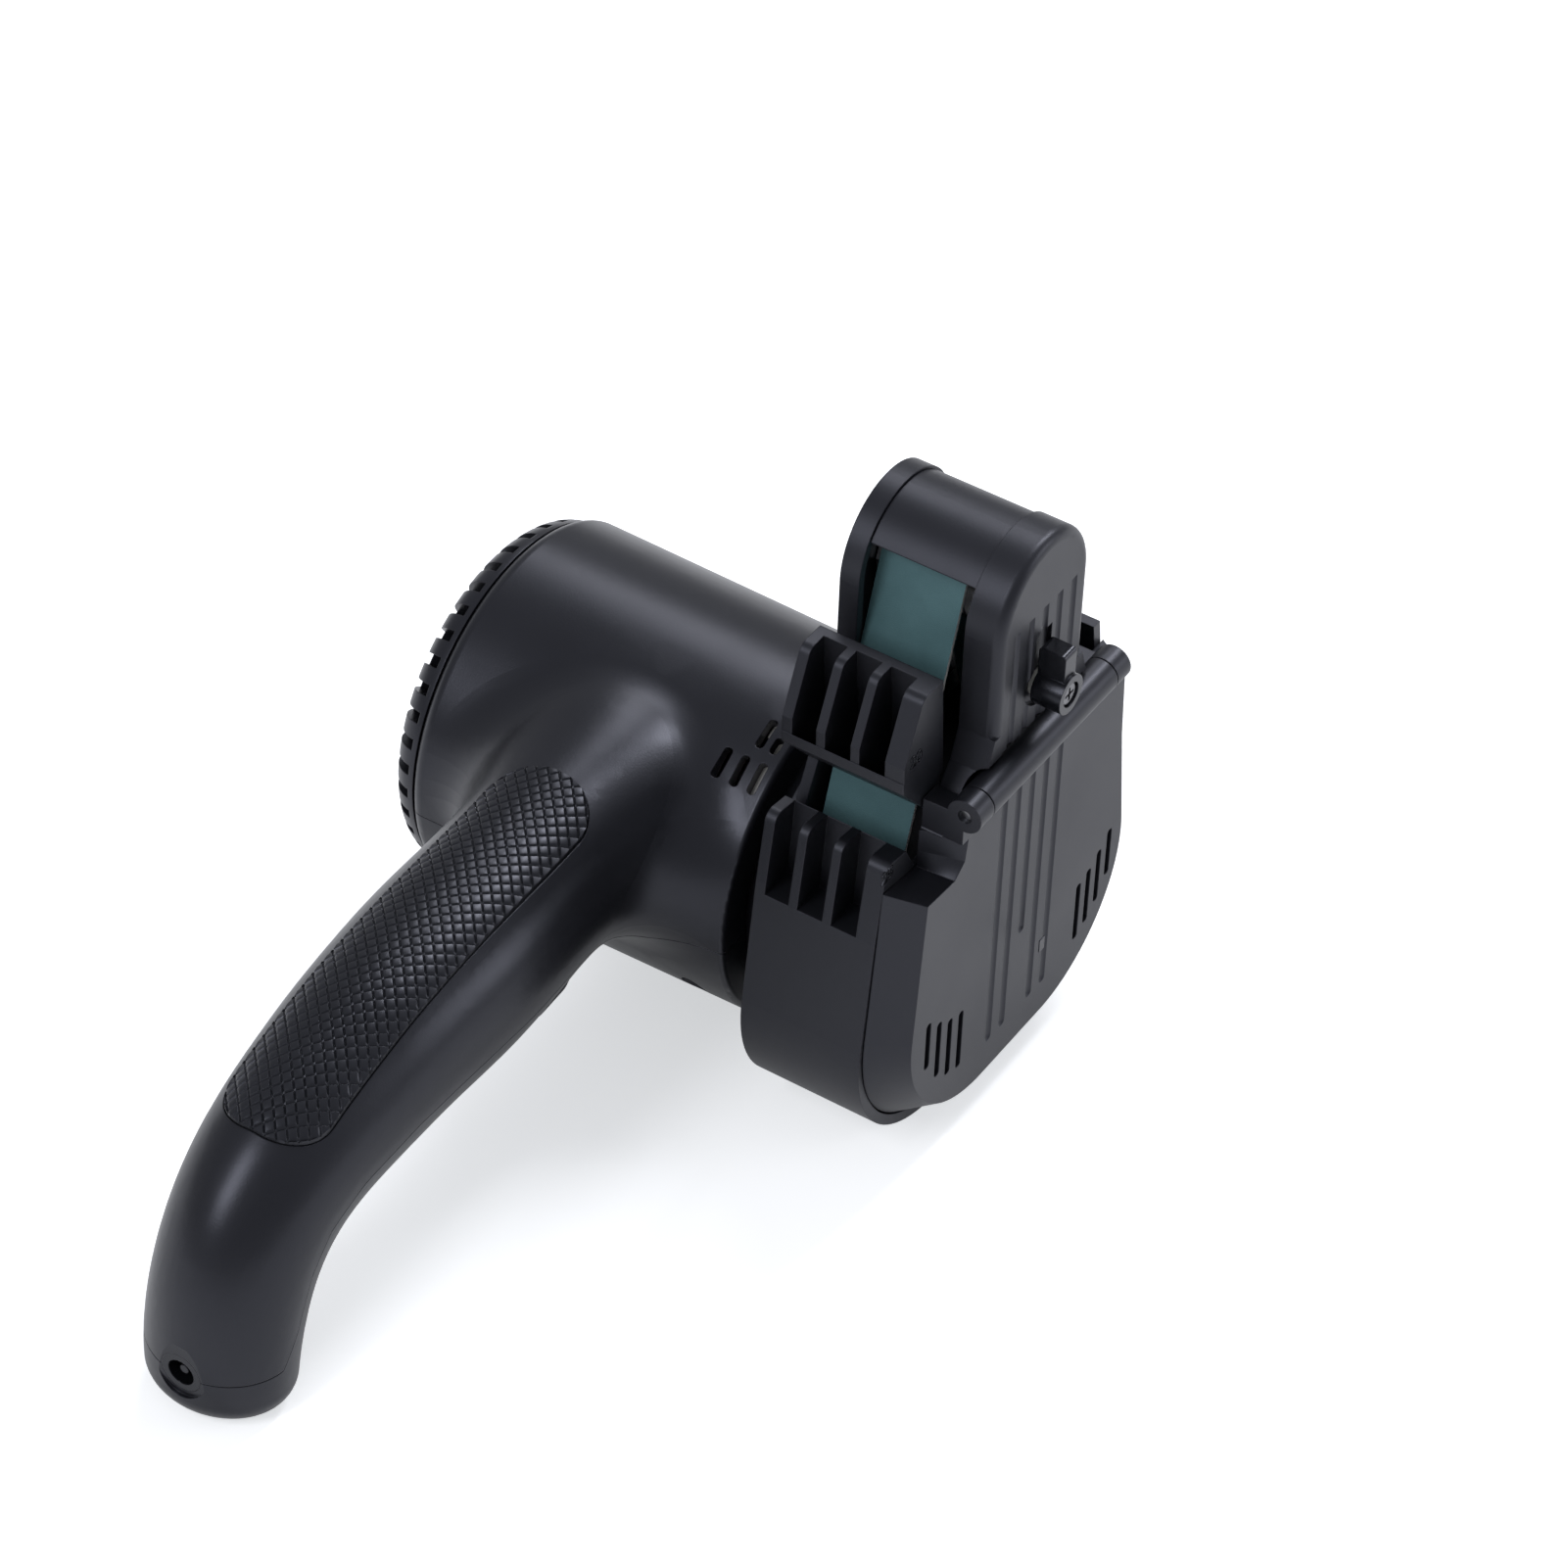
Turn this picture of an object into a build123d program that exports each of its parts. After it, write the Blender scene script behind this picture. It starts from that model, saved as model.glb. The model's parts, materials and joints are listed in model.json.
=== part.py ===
"""Handheld belt-type electric knife and scissor sharpener.

Millimetres, +Z up.  The motor axis is parallel to Y: the sharpening head is at
the front (-Y), the vented end cap at the rear (+Y), and the handle leaves the
-X side of the housing and curves down to stand on its tip.
Every piece is drawn about the motor axis (x = 0, z = 0) and moved to the
part's own frame when it is saved.
"""
from build123d import *
from math import asin, atan2, cos, degrees, hypot, radians, sin, sqrt
import os

# ---------------------------------------------------------------- placement
AXIS_X = 62.98         # motor axis from the middle of the part, along X
AXIS_Y = 29.85         # datum plane y = 0 from the middle of the part

# ---------------------------------------------------------------- clearances
SLIDE = 0.15           # between neighbouring moulded pieces
GAP = 0.3              # between bodies that pass each other
FIT = 0.03             # running fit of a shaft, on the radius
SEAT = 0.02            # fixed pieces that sit in one another, on the radius
WALL = 2.4             # moulded wall
CUT = 1.0              # how far a cutting shape runs past a face

# ---------------------------------------------------------------- housing
HOUSING_R = 40.0       # at the rear
FRONT_R = 38.9         # at the front flange
HOUSING_REAR = 31.0
HOUSING_FRONT = -45.2
REAR_ROUND = 3.0
FRONT_ROUND = 1.2
SPLIT_Z = -2.8         # parting plane of the two shells on the barrel
SPLIT_GAP = 0.2        # width of the joint that shows between the shells
ROOT_ROUND = 20.0      # hollow between the barrel and the handle
FLOOR_Z = -HOUSING_R   # the surface that the sharpener stands on
BARREL_WALL = 2.6
FRONT_HOLE_R = 12.0
BOSSES = ((31.0, -34.0), (31.0, 18.5), (-31.0, 18.5), (-31.0, -34.0))
BOSS_R = 3.2
BOSS_INSET = 1.2       # how far a boss end stays inside the outer surface
SCREW_R = 1.4
SCREW_HEAD_R = 2.6
SCREW_SEAT_Z = -18.0
VENT_SLOT_W = 1.9
# side vents: place along Y and the angles between which each slot runs
SIDE_VENTS = ((-33.8, 121.5, 131.5), (-37.9, 121.5, 131.5), (-42.0, 121.5, 131.5),
              (-38.9, 108.0, 118.0), (-42.2, 112.5, 118.0))

# ---------------------------------------------------------------- handle
HANDLE_Y = -10.6
# centre line x, z and half sizes: depth in the bend plane, width along Y
HANDLE_STATIONS = (
    (-14.0, 9.0, 24.0, 30.0),
    (-34.0, 13.0, 22.5, 27.0),
    (-50.0, 13.6, 19.4, 20.4),
    (-70.0, 12.2, 19.4, 19.6),
    (-92.0, 10.6, 19.8, 19.8),
    (-112.0, 8.9, 18.9, 18.6),
    (-130.0, 5.3, 18.0, 17.2),
    (-145.0, -2.0, 17.2, 16.0),
    (-154.5, -15.0, 15.6, 15.7),
    (-158.5, -29.0, 13.8, 15.8),
    (-159.0, FLOOR_Z, 12.9, 15.6),
)
HANDLE_WALL = 2.4
FOOT_ROUND = 6.0
JACK_Z = -27.5
SPLIT_HANDLE = ((-43.0, SPLIT_Z), (-52.0, 3.0), (-62.0, 6.8), (-92.0, 7.2), (-118.0, 5.8), (-134.0, 2.4),
                (-144.0, -2.6), (-150.0, -10.0), (-155.0, -21.0), (-160.0, JACK_Z))
GRIP_START_X = -46.0
GRIP_END_X = -147.0
GRIP_HALF_W = 11.6
GRIP_PROUD = 0.5
GRIP_DEPTH = 1.2

# ---------------------------------------------------------------- power jack
JACK_R = 4.6
JACK_BORE_R = 3.0
JACK_DEPTH = 9.0
JACK_MOUTH_X = -171.4
JACK_LENGTH = 13.0
JACK_PIN_R = 1.0
JACK_FLANGE_R = 6.0
JACK_FLANGE_T = 1.5
JACK_FLANGE_IN = 5.0   # from the mouth of the jack to its flange

# ---------------------------------------------------------------- rear end
RING_R = 38.6
RING_INNER_R = 27.8
RING_REAR = 37.8
RING_SEAT = 26.0
RING_WALL = 4.0
RING_ROUND = 6.6
VENT_COUNT = 40
VENT_W = 2.4
VENT_INNER_R = 31.2    # where a slot leaves the rear face
VENT_LOW_Y = 32.4      # where it leaves the side
CAP_R = 27.5
CAP_REAR = 38.2
CAP_LIP_R = 28.9
CAP_FRONT = 33.6
LABEL_W = 38.4
LABEL_H = 16.0
LABEL_DEPTH = 0.5

# ---------------------------------------------------------------- head casing
HEAD_REAR = -54.6
HEAD_SEAM = -82.4
BACK_WALL = 2.3
COLLAR_R = 33.5
HEAD_HALF_LOW = 50.4   # half width of the head where its sides meet the floor
HEAD_CORNER_R = 32.0
SIDE_MID = (42.4, 25.5)
SIDE_TOP = (38.0, 54.0)
SIDE_CROWN = (31.6, 74.6)
TUB_TOP = 49.0         # top of the plain side in front of the guide block
RIB_ROUND = 2.5        # outer upper corner of the comb ribs
GUIDE_TOP = 77.0
GUIDE_CROWN_X = 28.6
GUIDE_LIP_X = 24.2
GUIDE_FRONT = -76.0
NOTCH = (21.6, 53.4)
ARCH_ROOT_Z = 63.0
RIB_COUNT = 4
RIB_PITCH = 7.8
RIB_T = 2.0
BLOCK_WALL = 2.2
KNIFE_CREST_X = -22.6
KNIFE_NOTCH_X = -20.6
SLOT_TOP = (-24.8, 45.2)
SLOT_LIP = (-35.0, 56.6)
BLOCK_SHOULDER = (-35.2, 63.2)
BLOCK_CROWN_X = -29.4
LOWER_CROWN = (-39.6, 41.6)
LOWER_INNER = (-32.8, 40.6)
SLOT_BOTTOM = (-29.6, 34.8)
CELL_BACK_X = -32.4
CELL_FLOOR_Z = 23.0
FLUTE_PITCH = 5.6
FLUTE_W = 2.2
FLUTE_DEPTH = 0.8
FLUTE_COUNT = 5

# ---------------------------------------------------------------- arch cover
ARCH_FACE = -91.0
ARCH_HALF_W = 16.2
ARCH_TOP = 100.0
ARCH_WALL = 3.0
ARCH_ROUND = 2.2
STRIP_FRONT = -58.9
BRIDGE_DROP = 0.6      # the bridge lies this far inside the arch front
WINDOW_FRONT = -82.7
WINDOW_TOP = 92.9
ARCH_FOOT_Z = 56.0
FLARE = ((18.6, 54.2), (21.8, 50.2), (25.7, 46.5), (28.3, 43.4))   # from the arch down to the hinge
FLARE_TOP_Z = 61.0
FLARE_LOW_FRONT = -87.6
SKIRT_REAR = -80.4
SKIRT_LEG_TOP = 47.0
SHELF_Z = 43.4
SHELF_T = 2.0
GROOVE_XS = (-10.4, -5.2, 0.0, 5.2, 10.4)
GROOVE_R = 1.5
GROOVE_DEPTH = 0.5
GROOVE_TOP = 84.0

# ---------------------------------------------------------------- front door
DOOR_FACE = -91.0
DOOR_HALF_LOW = 48.8
DOOR_FLOOR = -37.2
DOOR_TOP = 43.0
DOOR_TOP_X = 40.5
DOOR_CHAMFER = 5.5
# hollow for the scissor guide in the door's edge: from its top to the outer end of its ledge
SADDLE_REAR = ((-28.6, 43.0), (-28.8, 38.0), (-29.0, 34.0), (-41.0, 35.5))
SADDLE_FACE = ((-23.7, 43.0), (-24.8, 36.4), (-28.2, 33.8), (-38.0, 34.5))
DOOR_GROOVE_TOP = 44.0
DOOR_GROOVE_FOOT = -22.5
MIDDLE_GROOVE_FOOT = -0.5
DOOR_SLOT_W = 1.8
# vents in the door: x, lower end and upper end
DOOR_VENTS = ((-34.6, -12.0, 0.4), (-30.4, -17.4, -2.6), (-26.2, -20.2, -5.0), (-22.0, -21.6, -6.2),
              (34.6, -12.0, 0.4), (30.8, -16.6, -2.6), (27.0, -19.6, -5.0), (23.2, -21.4, -6.2))
HINGE_Y = -92.0
HINGE_Z = 51.0
HINGE_R = 3.8
HINGE_PIN_R = 1.5
HINGE_HALF = 28.0
HINGE_EAR_T = 4.8

# ---------------------------------------------------------------- belt drive
BELT_REAR = -58.9
BELT_W = 19.0
BELT_T = 0.8
BELT_ROOM = 1.0        # free space kept round the belt in fixed pieces
DRUM_R = 33.0
DRUM_INSET = 0.4       # pulleys are this much narrower than the belt, each side
DRUM_RIM_IN = 27.0
DRUM_HUB_R = 7.0
DRUM_WEB = 3.0
TYRE_T = 2.0
IDLER_R = 8.0
IDLER_Z = 84.5
SHAFT_R = 2.5
AXLE_R = 2.0
BEARING_R = 5.0
BEARING_W = 4.0
NECK_BEARING_R = 8.0
NECK_BEARING_W = 5.0

# ---------------------------------------------------------------- motor
CAN_R = 22.0
CAN_REAR = 17.5
CAN_WALL = 1.5
MOUNT_T = 4.6
BELL_REAR = 22.5
MAGNET_T = 4.0
ROTOR_R = 15.2
ROTOR_REAR = 7.5
ROTOR_FRONT = -24.0
COIL_R = 13.6
COIL_END = 3.6
POLES = 8
COMMUTATOR_R = 6.0
BRUSH_Y = 14.5
BRUSH_W = 4.4
FAN_R = 29.0
FAN_FRONT = 23.9
FAN_REAR = 30.5
FAN_BLADES = 12
SHAFT_REAR = 31.3

# ---------------------------------------------------------------- controls
RELEASE_X = 22.7
RELEASE_Z = 39.0
RELEASE_DROP = 3.0
RELEASE_TURN = 80.0
RELEASE_SHAFT_R = 2.5
CAM_BASE_R = 3.4
CAM_BULGE = 0.5        # how far a snail cam reaches past its own radius
PLATE_T = 1.1
PIN_Z = (52.0, 69.0)
PIN_R = 1.9
SPRING_X = -11.0
SPRING_Y = -62.6
SPRING_LOW = 48.0
SPRING_HIGH = 62.0
TRACK_Z = 65.0
TRACK_THROW = 0.5
TRACK_CAM_R = 7.0
TRACK_SHAFT_R = 3.0
LINK_REAR = -83.2
LINK_T = 2.5
LINK_HALF_W = 10.0
KNOB_REAR = -91.3
KNOB_FRONT = -97.9
KNOB_HUB_R = 4.3
WING_T = 4.0
WING_TOP = 75.4
TRIGGER_PIVOT = (-47.5, -3.9)
TRIGGER_HALF_W = 6.4
TRIGGER_PIN_R = 1.5
TRIGGER_HUB_R = 3.2
TRIGGER_SLOT = (-71.4, -43.6)
SWITCH_X = (-62.0, -50.0)
SWITCH_Z = 3.2
BRIDGE_X = (-69.0, -63.5)
TRIGGER_SPRING_X = -66.3

# ---------------------------------------------------------------- fasteners
COVER_SCREWS = ((-37.0, 8.0), (37.0, 8.0))
HEAD_SCREWS = ((0.0, -25.0), (-25.0, 6.0), (25.0, 6.0))
SMALL_SCREW_R = 1.25
STICKER = (24.5, 46.8)
STICKER_R = 4.2

# ---------------------------------------------------------------- worked out
PLATE_REAR = HEAD_REAR - BACK_WALL - GAP
PLATE_FRONT = PLATE_REAR - PLATE_T
PULLEY_REAR = BELT_REAR - DRUM_INSET
PULLEY_FRONT = BELT_REAR - BELT_W + DRUM_INSET
DOOR_REAR = HEAD_SEAM - SLIDE
SKIRT_FRONT = HEAD_SEAM + 0.1
COVER_LUG_Y = SKIRT_REAR + SEAT
MOUNT_FRONT = HOUSING_FRONT + WALL + SEAT
MOUNT_REAR = MOUNT_FRONT + MOUNT_T
CAN_FRONT = MOUNT_REAR + SEAT
LINK_FRONT = LINK_REAR - LINK_T
FOOT_TOP = RELEASE_Z - CAM_BASE_R - CAM_BULGE - GAP


# ================================================================ helpers
def outline(points):
    """Face from x, z corners; a third value rounds its corner."""
    face = make_face(Polyline(*[point[:2] for point in points], close=True))
    for x, z, radius in [point for point in points if len(point) == 3]:
        corner = face.vertices().sort_by_distance((x, z, 0))[0]
        face = fillet(corner, radius)
    return face


def prism(points, y_rear, y_front):
    """Outline of x, z corners, extruded from y_rear forward to y_front."""
    plane = Plane.XZ.offset(-y_rear)
    return extrude(plane * outline(points), y_rear - y_front)


def block(x0, x1, y0, y1, z0, z1):
    size = Box(abs(x1 - x0), abs(y1 - y0), abs(z1 - z0))
    return Pos((x0 + x1) / 2, (y0 + y1) / 2, (z0 + z1) / 2) * size


def rod_y(radius, y0, y1, x=0.0, z=0.0):
    """Cylinder along Y."""
    return Pos(x, (y0 + y1) / 2, z) * Rot(90, 0, 0) * Cylinder(radius, abs(y1 - y0))


def rod_x(radius, x0, x1, y=0.0, z=0.0):
    """Cylinder along X."""
    return Pos((x0 + x1) / 2, y, z) * Rot(0, 90, 0) * Cylinder(radius, abs(x1 - x0))


def rod_z(radius, z0, z1, x=0.0, y=0.0):
    """Cylinder along Z."""
    return Pos(x, y, (z0 + z1) / 2) * Cylinder(radius, abs(z1 - z0))


def turned(points):
    """Solid of revolution about the motor axis from radius, y points."""
    face = make_face(Polyline(*points, close=True))
    return revolve(Plane.XY * face, Axis.Y)


def tube_y(outer, inner, y0, y1, x=0.0, z=0.0):
    """Ring along Y."""
    return rod_y(outer, y0, y1, x, z) - rod_y(inner, max(y0, y1) + CUT, min(y0, y1) - CUT, x, z)


def union(shapes):
    """Fuse a list of shapes into one."""
    result = shapes[0]
    for shape in shapes[1:]:
        result = result + shape
    return result


def mirrored(points):
    """The same corners on the other side of the middle plane."""
    return [(-point[0],) + tuple(point[1:]) for point in reversed(points)]


def screw(head_r, head_h, shank_r, length):
    """Pan-head screw along -Z from its head, whose underside is at z = 0."""
    head = Pos(0, 0, head_h / 2) * Cylinder(head_r, head_h)
    head = fillet(head.edges().group_by(Axis.Z)[-1], head_h * 0.4)
    cross = Box(head_r * 1.2, head_r * 0.24, head_h) + Box(head_r * 0.24, head_r * 1.2, head_h)
    shank = Pos(0, 0, -length / 2) * Cylinder(shank_r, length)
    return head - Pos(0, 0, head_h) * cross + shank


def front_screw(x, z, seat_y, length, head_r=2.6, head_h=1.5):
    """Screw driven towards the rear, its head's underside at seat_y."""
    return Pos(x, seat_y, z) * Rot(90, 0, 0) * screw(head_r, head_h, SMALL_SCREW_R - SEAT, length)


def coil_spring(radius, wire_r, z0, z1, turns, x, y):
    """Compression spring along Z between two seats."""
    height = z1 - z0 - 2 * wire_r - 2 * SLIDE
    path = Helix(pitch=height / turns, height=height, radius=radius)
    coil = sweep(Plane(path @ 0, z_dir=path % 0) * Circle(wire_r), path)
    return Pos(x, y, z0 + wire_r + SLIDE) * coil


def groove(x, face_y, z_low, z_high):
    """Shallow round-bottomed groove up a front face."""
    y = face_y - GROOVE_R + GROOVE_DEPTH
    return rod_z(GROOVE_R, z_low, z_high, x, y) + Pos(x, y, z_low) * Sphere(GROOVE_R)


def flutes(y_rear, y_front, z_low, z_high, pitch, width):
    """Upright rounded grooves side by side, centred on the arch."""
    grooves = []
    for k in range(FLUTE_COUNT):
        x = (k - (FLUTE_COUNT - 1) / 2) * pitch
        groove = block(x - width / 2, x + width / 2, y_rear, y_front, z_low, z_high)
        grooves.append(fillet(groove.edges().filter_by(Axis.Y), width * 0.45))
    return grooves


def save(name, shape):
    """Move a piece to the part's frame and write it."""
    placed = Pos(AXIS_X, AXIS_Y, -FLOOR_Z) * shape
    placed.label = name
    export_step(placed, os.path.join("parts", name + ".step"))


# ================================================================ handle form
def handle_form(shrink, last=0):
    """Lofted handle, thinner by shrink, without the last stations."""
    stations = HANDLE_STATIONS[:len(HANDLE_STATIONS) - last]
    sections = []
    for i, (x, z, depth, width) in enumerate(stations):
        x0, z0 = stations[max(i - 1, 0)][:2]
        x1, z1 = stations[min(i + 1, len(stations) - 1)][:2]
        if i == len(HANDLE_STATIONS) - 1:
            x0, z0, x1, z1 = x, z + 1, x, z
        run = hypot(x1 - x0, z1 - z0)
        plane = Plane(origin=(x, HANDLE_Y, z), x_dir=(0, 1, 0), z_dir=((x1 - x0) / run, 0, (z1 - z0) / run))
        sections.append(plane * Ellipse(width - shrink, depth - shrink))
    return loft(sections)


def upper_region():
    """Everything above the parting line of the two shells."""
    line = [(60.0, SPLIT_Z)] + list(SPLIT_HANDLE) + [(-200.0, JACK_Z), (-200.0, 120.0), (60.0, 120.0)]
    return prism(line, 60.0, -60.0)


def grip_outline(margin):
    """Vertical prism with the plan shape of the grip pad."""
    length = GRIP_START_X - GRIP_END_X + 2 * margin
    half = GRIP_HALF_W + margin
    plan = RectangleRounded(length, 2 * half, half - 1.5)
    return Pos((GRIP_START_X + GRIP_END_X) / 2, HANDLE_Y, -10) * extrude(plan, 60)


# ================================================================ housing
def housing_outer():
    barrel = turned(((0, HOUSING_FRONT), (FRONT_R, HOUSING_FRONT), (HOUSING_R, HOUSING_REAR), (0, HOUSING_REAR)))
    rims = barrel.edges().filter_by(GeomType.CIRCLE).sort_by(Axis.Y)
    barrel = fillet(rims[-1], REAR_ROUND)
    barrel = fillet(barrel.edges().filter_by(GeomType.CIRCLE).sort_by(Axis.Y)[0], FRONT_ROUND)
    handle = handle_form(0)
    foot = handle.edges().sort_by(Axis.Z)[0]
    body = barrel + fillet(foot, FOOT_ROUND)
    root = [edge for edge in body.edges() if is_root_edge(edge)]
    return fillet(root, ROOT_ROUND)


def is_root_edge(edge):
    """True for the edges where the handle meets the barrel."""
    box = edge.bounding_box()
    return edge.geom_type != GeomType.CIRCLE and box.min.X > -1.5 * HOUSING_R and box.max.X < -15.0


def housing_cavity():
    front_r = FRONT_R - BARREL_WALL
    rear_r = HOUSING_R - BARREL_WALL
    chamber = turned(((0, HOUSING_FRONT + WALL), (front_r, HOUSING_FRONT + WALL), (rear_r, RING_SEAT),
                      (rear_r, HOUSING_REAR + CUT), (0, HOUSING_REAR + CUT)))
    return chamber + handle_form(HANDLE_WALL, 1)


def side_vents():
    """Slots that let air out beside the front flange, on the handle side."""
    slots = []
    for y, start, end in SIDE_VENTS:
        length = FRONT_R * radians(end - start)
        slot = Pos(FRONT_R, 0, 0) * Box(20, VENT_SLOT_W, length)
        slot = fillet(slot.edges().filter_by(Axis.X), VENT_SLOT_W * 0.45)
        slots.append(Pos(0, y, 0) * Rot(0, -(start + end) / 2, 0) * slot)
    return union(slots)


def jack_hole():
    """Bore for the jack, with the groove that holds its flange."""
    bore = rod_x(JACK_R + SEAT, JACK_MOUTH_X - 12, JACK_MOUTH_X + JACK_LENGTH + GAP, HANDLE_Y, JACK_Z)
    groove = rod_x(JACK_FLANGE_R + SEAT, JACK_MOUTH_X + JACK_FLANGE_IN - SEAT,
                   JACK_MOUTH_X + JACK_FLANGE_IN + JACK_FLANGE_T + SEAT, HANDLE_Y, JACK_Z)
    return bore + groove


def jack_patch():
    """Flat recess round the mouth of the jack, straight-sided upwards."""
    half = JACK_R + 1.2
    patch = rod_x(half, JACK_MOUTH_X - 12, JACK_MOUTH_X, HANDLE_Y, JACK_Z)
    return patch + block(JACK_MOUTH_X - 12, JACK_MOUTH_X, HANDLE_Y - half, HANDLE_Y + half, JACK_Z, JACK_Z + 7)


def trigger_slot():
    half = TRIGGER_HALF_W + GAP
    return block(TRIGGER_SLOT[0], TRIGGER_SLOT[1], HANDLE_Y - half, HANDLE_Y + half, -20, 4)


def boss_posts(below):
    """Screw posts inside the housing, below or above the parting plane."""
    posts = []
    for x, y in BOSSES:
        reach = sqrt((FRONT_R - BOSS_INSET) ** 2 - (abs(x) + BOSS_R) ** 2)
        end = -reach if below else reach
        posts.append(rod_z(BOSS_R, min(end, SPLIT_Z), max(end, SPLIT_Z), x, y))
    return posts


def trigger_supports():
    """Pivot lugs, switch posts and spring bridge in the lower shell."""
    inner = TRIGGER_HALF_W + GAP + 1.2
    outer = inner + 3.0
    px, pz = TRIGGER_PIVOT
    parts = []
    for side in (-1, 1):
        y0 = HANDLE_Y + side * inner
        y1 = HANDLE_Y + side * outer
        lug = [(px - 3.3, pz - 5), (px + 3.1, pz - 5), (px + 3.1, pz + 1.4), (px, pz + 3.4), (px - 3.3, pz + 3.4)]
        parts.append(prism(lug, max(y0, y1), min(y0, y1)))
        parts.append(block(BRIDGE_X[0], SWITCH_X[1] - 1, y0, y1, -7, SWITCH_Z - SEAT))
    y0 = HANDLE_Y - outer
    y1 = HANDLE_Y + outer
    parts.append(block(BRIDGE_X[0], BRIDGE_X[1], y0, y1, SWITCH_Z - SEAT - CUT, SWITCH_Z + 1.8))
    parts.append(rod_z(1.2, SWITCH_Z - 2.2, SWITCH_Z, TRIGGER_SPRING_X, HANDLE_Y))
    inside = handle_form(HANDLE_WALL / 2, 1)
    return [part & inside for part in parts]


def trigger_pin_hole(clearance):
    px, pz = TRIGGER_PIVOT
    return Pos(px, HANDLE_Y, pz) * Rot(90, 0, 0) * Cylinder(TRIGGER_PIN_R + clearance, 40)


def housing_halves():
    shell = housing_outer() - housing_cavity()
    shell = shell - rod_y(FRONT_HOLE_R, HOUSING_FRONT - CUT, HOUSING_FRONT + 2 * WALL)
    shell = shell - jack_patch()
    shell = shell - jack_hole()
    region = upper_region()
    pad_band = handle_form(-4.0) - handle_form(GRIP_DEPTH)
    upper = (shell & region) - (pad_band & grip_outline(SLIDE)) - side_vents()
    lower = (shell - Pos(0, 0, -SPLIT_GAP) * region) - trigger_slot()
    lower = union([lower] + boss_posts(True) + trigger_supports())
    lower = lower - trigger_pin_hole(SEAT)
    upper = union([upper] + boss_posts(False))
    for x, y in BOSSES:
        lower = lower - rod_z(SCREW_R + SLIDE, FLOOR_Z - CUT, SPLIT_Z + CUT, x, y)
        lower = lower - rod_z(SCREW_HEAD_R + GAP, FLOOR_Z - CUT, SCREW_SEAT_Z, x, y)
        upper = upper - rod_z(SCREW_R, SPLIT_Z - CUT, SPLIT_Z + 9, x, y)
    return upper, lower


def housing_screws():
    screws = []
    for x, y in BOSSES:
        body = Rot(180, 0, 0) * screw(SCREW_HEAD_R, 1.8, SCREW_R - SEAT, SPLIT_Z - SCREW_SEAT_Z + 7)
        screws.append(Pos(x, y, SCREW_SEAT_Z) * body)
    return Compound(children=screws)


def grip_pad():
    band = handle_form(-GRIP_PROUD) - handle_form(GRIP_DEPTH - 0.05)
    pad = band & grip_outline(0)
    return pad.solids().sort_by(SortBy.VOLUME)[-1]


# ================================================================ rear end
def rear_vent_ring():
    seat_r = HOUSING_R - BARREL_WALL - SEAT
    inner_r = RING_R - RING_WALL
    profile = [(RING_INNER_R, RING_REAR), (RING_R, RING_REAR, RING_ROUND), (RING_R, HOUSING_REAR),
               (seat_r, HOUSING_REAR), (seat_r, RING_SEAT + SEAT), (inner_r, RING_SEAT + SEAT),
               (inner_r, RING_REAR - WALL, RING_ROUND - WALL), (RING_INNER_R, RING_REAR - WALL)]
    ring = revolve(outline(profile), Axis.Y)
    return ring - [Rot(0, 360 / VENT_COUNT * k, 0) * ring_slot() for k in range(VENT_COUNT)]


def ring_slot():
    """Slanting cut through the rounded edge of the vent ring."""
    run = RING_R - VENT_INNER_R
    drop = RING_REAR - VENT_LOW_Y
    slot = Rot(0, 0, -degrees(atan2(drop, run))) * Box(hypot(run, drop), 3 * WALL, VENT_W)
    return Pos(VENT_INNER_R + run / 2, VENT_LOW_Y + drop / 2, 0) * slot


def rear_cap():
    cap = turned(((0, CAP_FRONT), (CAP_LIP_R, CAP_FRONT), (CAP_LIP_R, RING_REAR - WALL - SEAT),
                  (CAP_R, RING_REAR - WALL - SEAT), (CAP_R, CAP_REAR), (0, CAP_REAR)))
    cap = fillet(cap.edges().filter_by(GeomType.CIRCLE).sort_by(Axis.Y)[-1], 0.8)
    label = block(-LABEL_W / 2, LABEL_W / 2, CAP_REAR - LABEL_DEPTH, CAP_REAR + CUT, -LABEL_H / 2, LABEL_H / 2)
    return cap - label


# ================================================================ motor
def motor_mount():
    """Plate between the housing's front wall and the motor."""
    plate = tube_y(FRONT_R - BARREL_WALL - SLIDE, FRONT_HOLE_R, MOUNT_REAR, MOUNT_FRONT)
    for side in (-1, 1):
        plate = plate - rod_y(SMALL_SCREW_R + SLIDE, MOUNT_REAR + CUT, MOUNT_FRONT - CUT, side * 14.5, 0)
        plate = plate - rod_y(SCREW_HEAD_R + GAP, MOUNT_FRONT + 1.9, MOUNT_FRONT - CUT, side * 14.5, 0)
        plate = plate - rod_y(BOSS_R + GAP, MOUNT_REAR + CUT, MOUNT_FRONT - CUT, side * 14.5, 30)
    return plate


def motor_screws():
    screws = [front_screw(side * 14.5, 0, MOUNT_FRONT + 1.9, MOUNT_T) for side in (-1, 1)]
    return Compound(children=screws)


def motor_can():
    inner = CAN_R - CAN_WALL
    can = turned(((SHAFT_R + CUT, CAN_FRONT), (CAN_R, CAN_FRONT), (CAN_R, CAN_REAR), (inner, CAN_REAR),
                  (inner, CAN_FRONT + 2.5), (SHAFT_R + CUT, CAN_FRONT + 2.5)))
    for side in (-1, 1):
        can = can - rod_y(SMALL_SCREW_R, CAN_FRONT - CUT, CAN_FRONT + 4, side * 14.5, 0)
    return can


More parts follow.
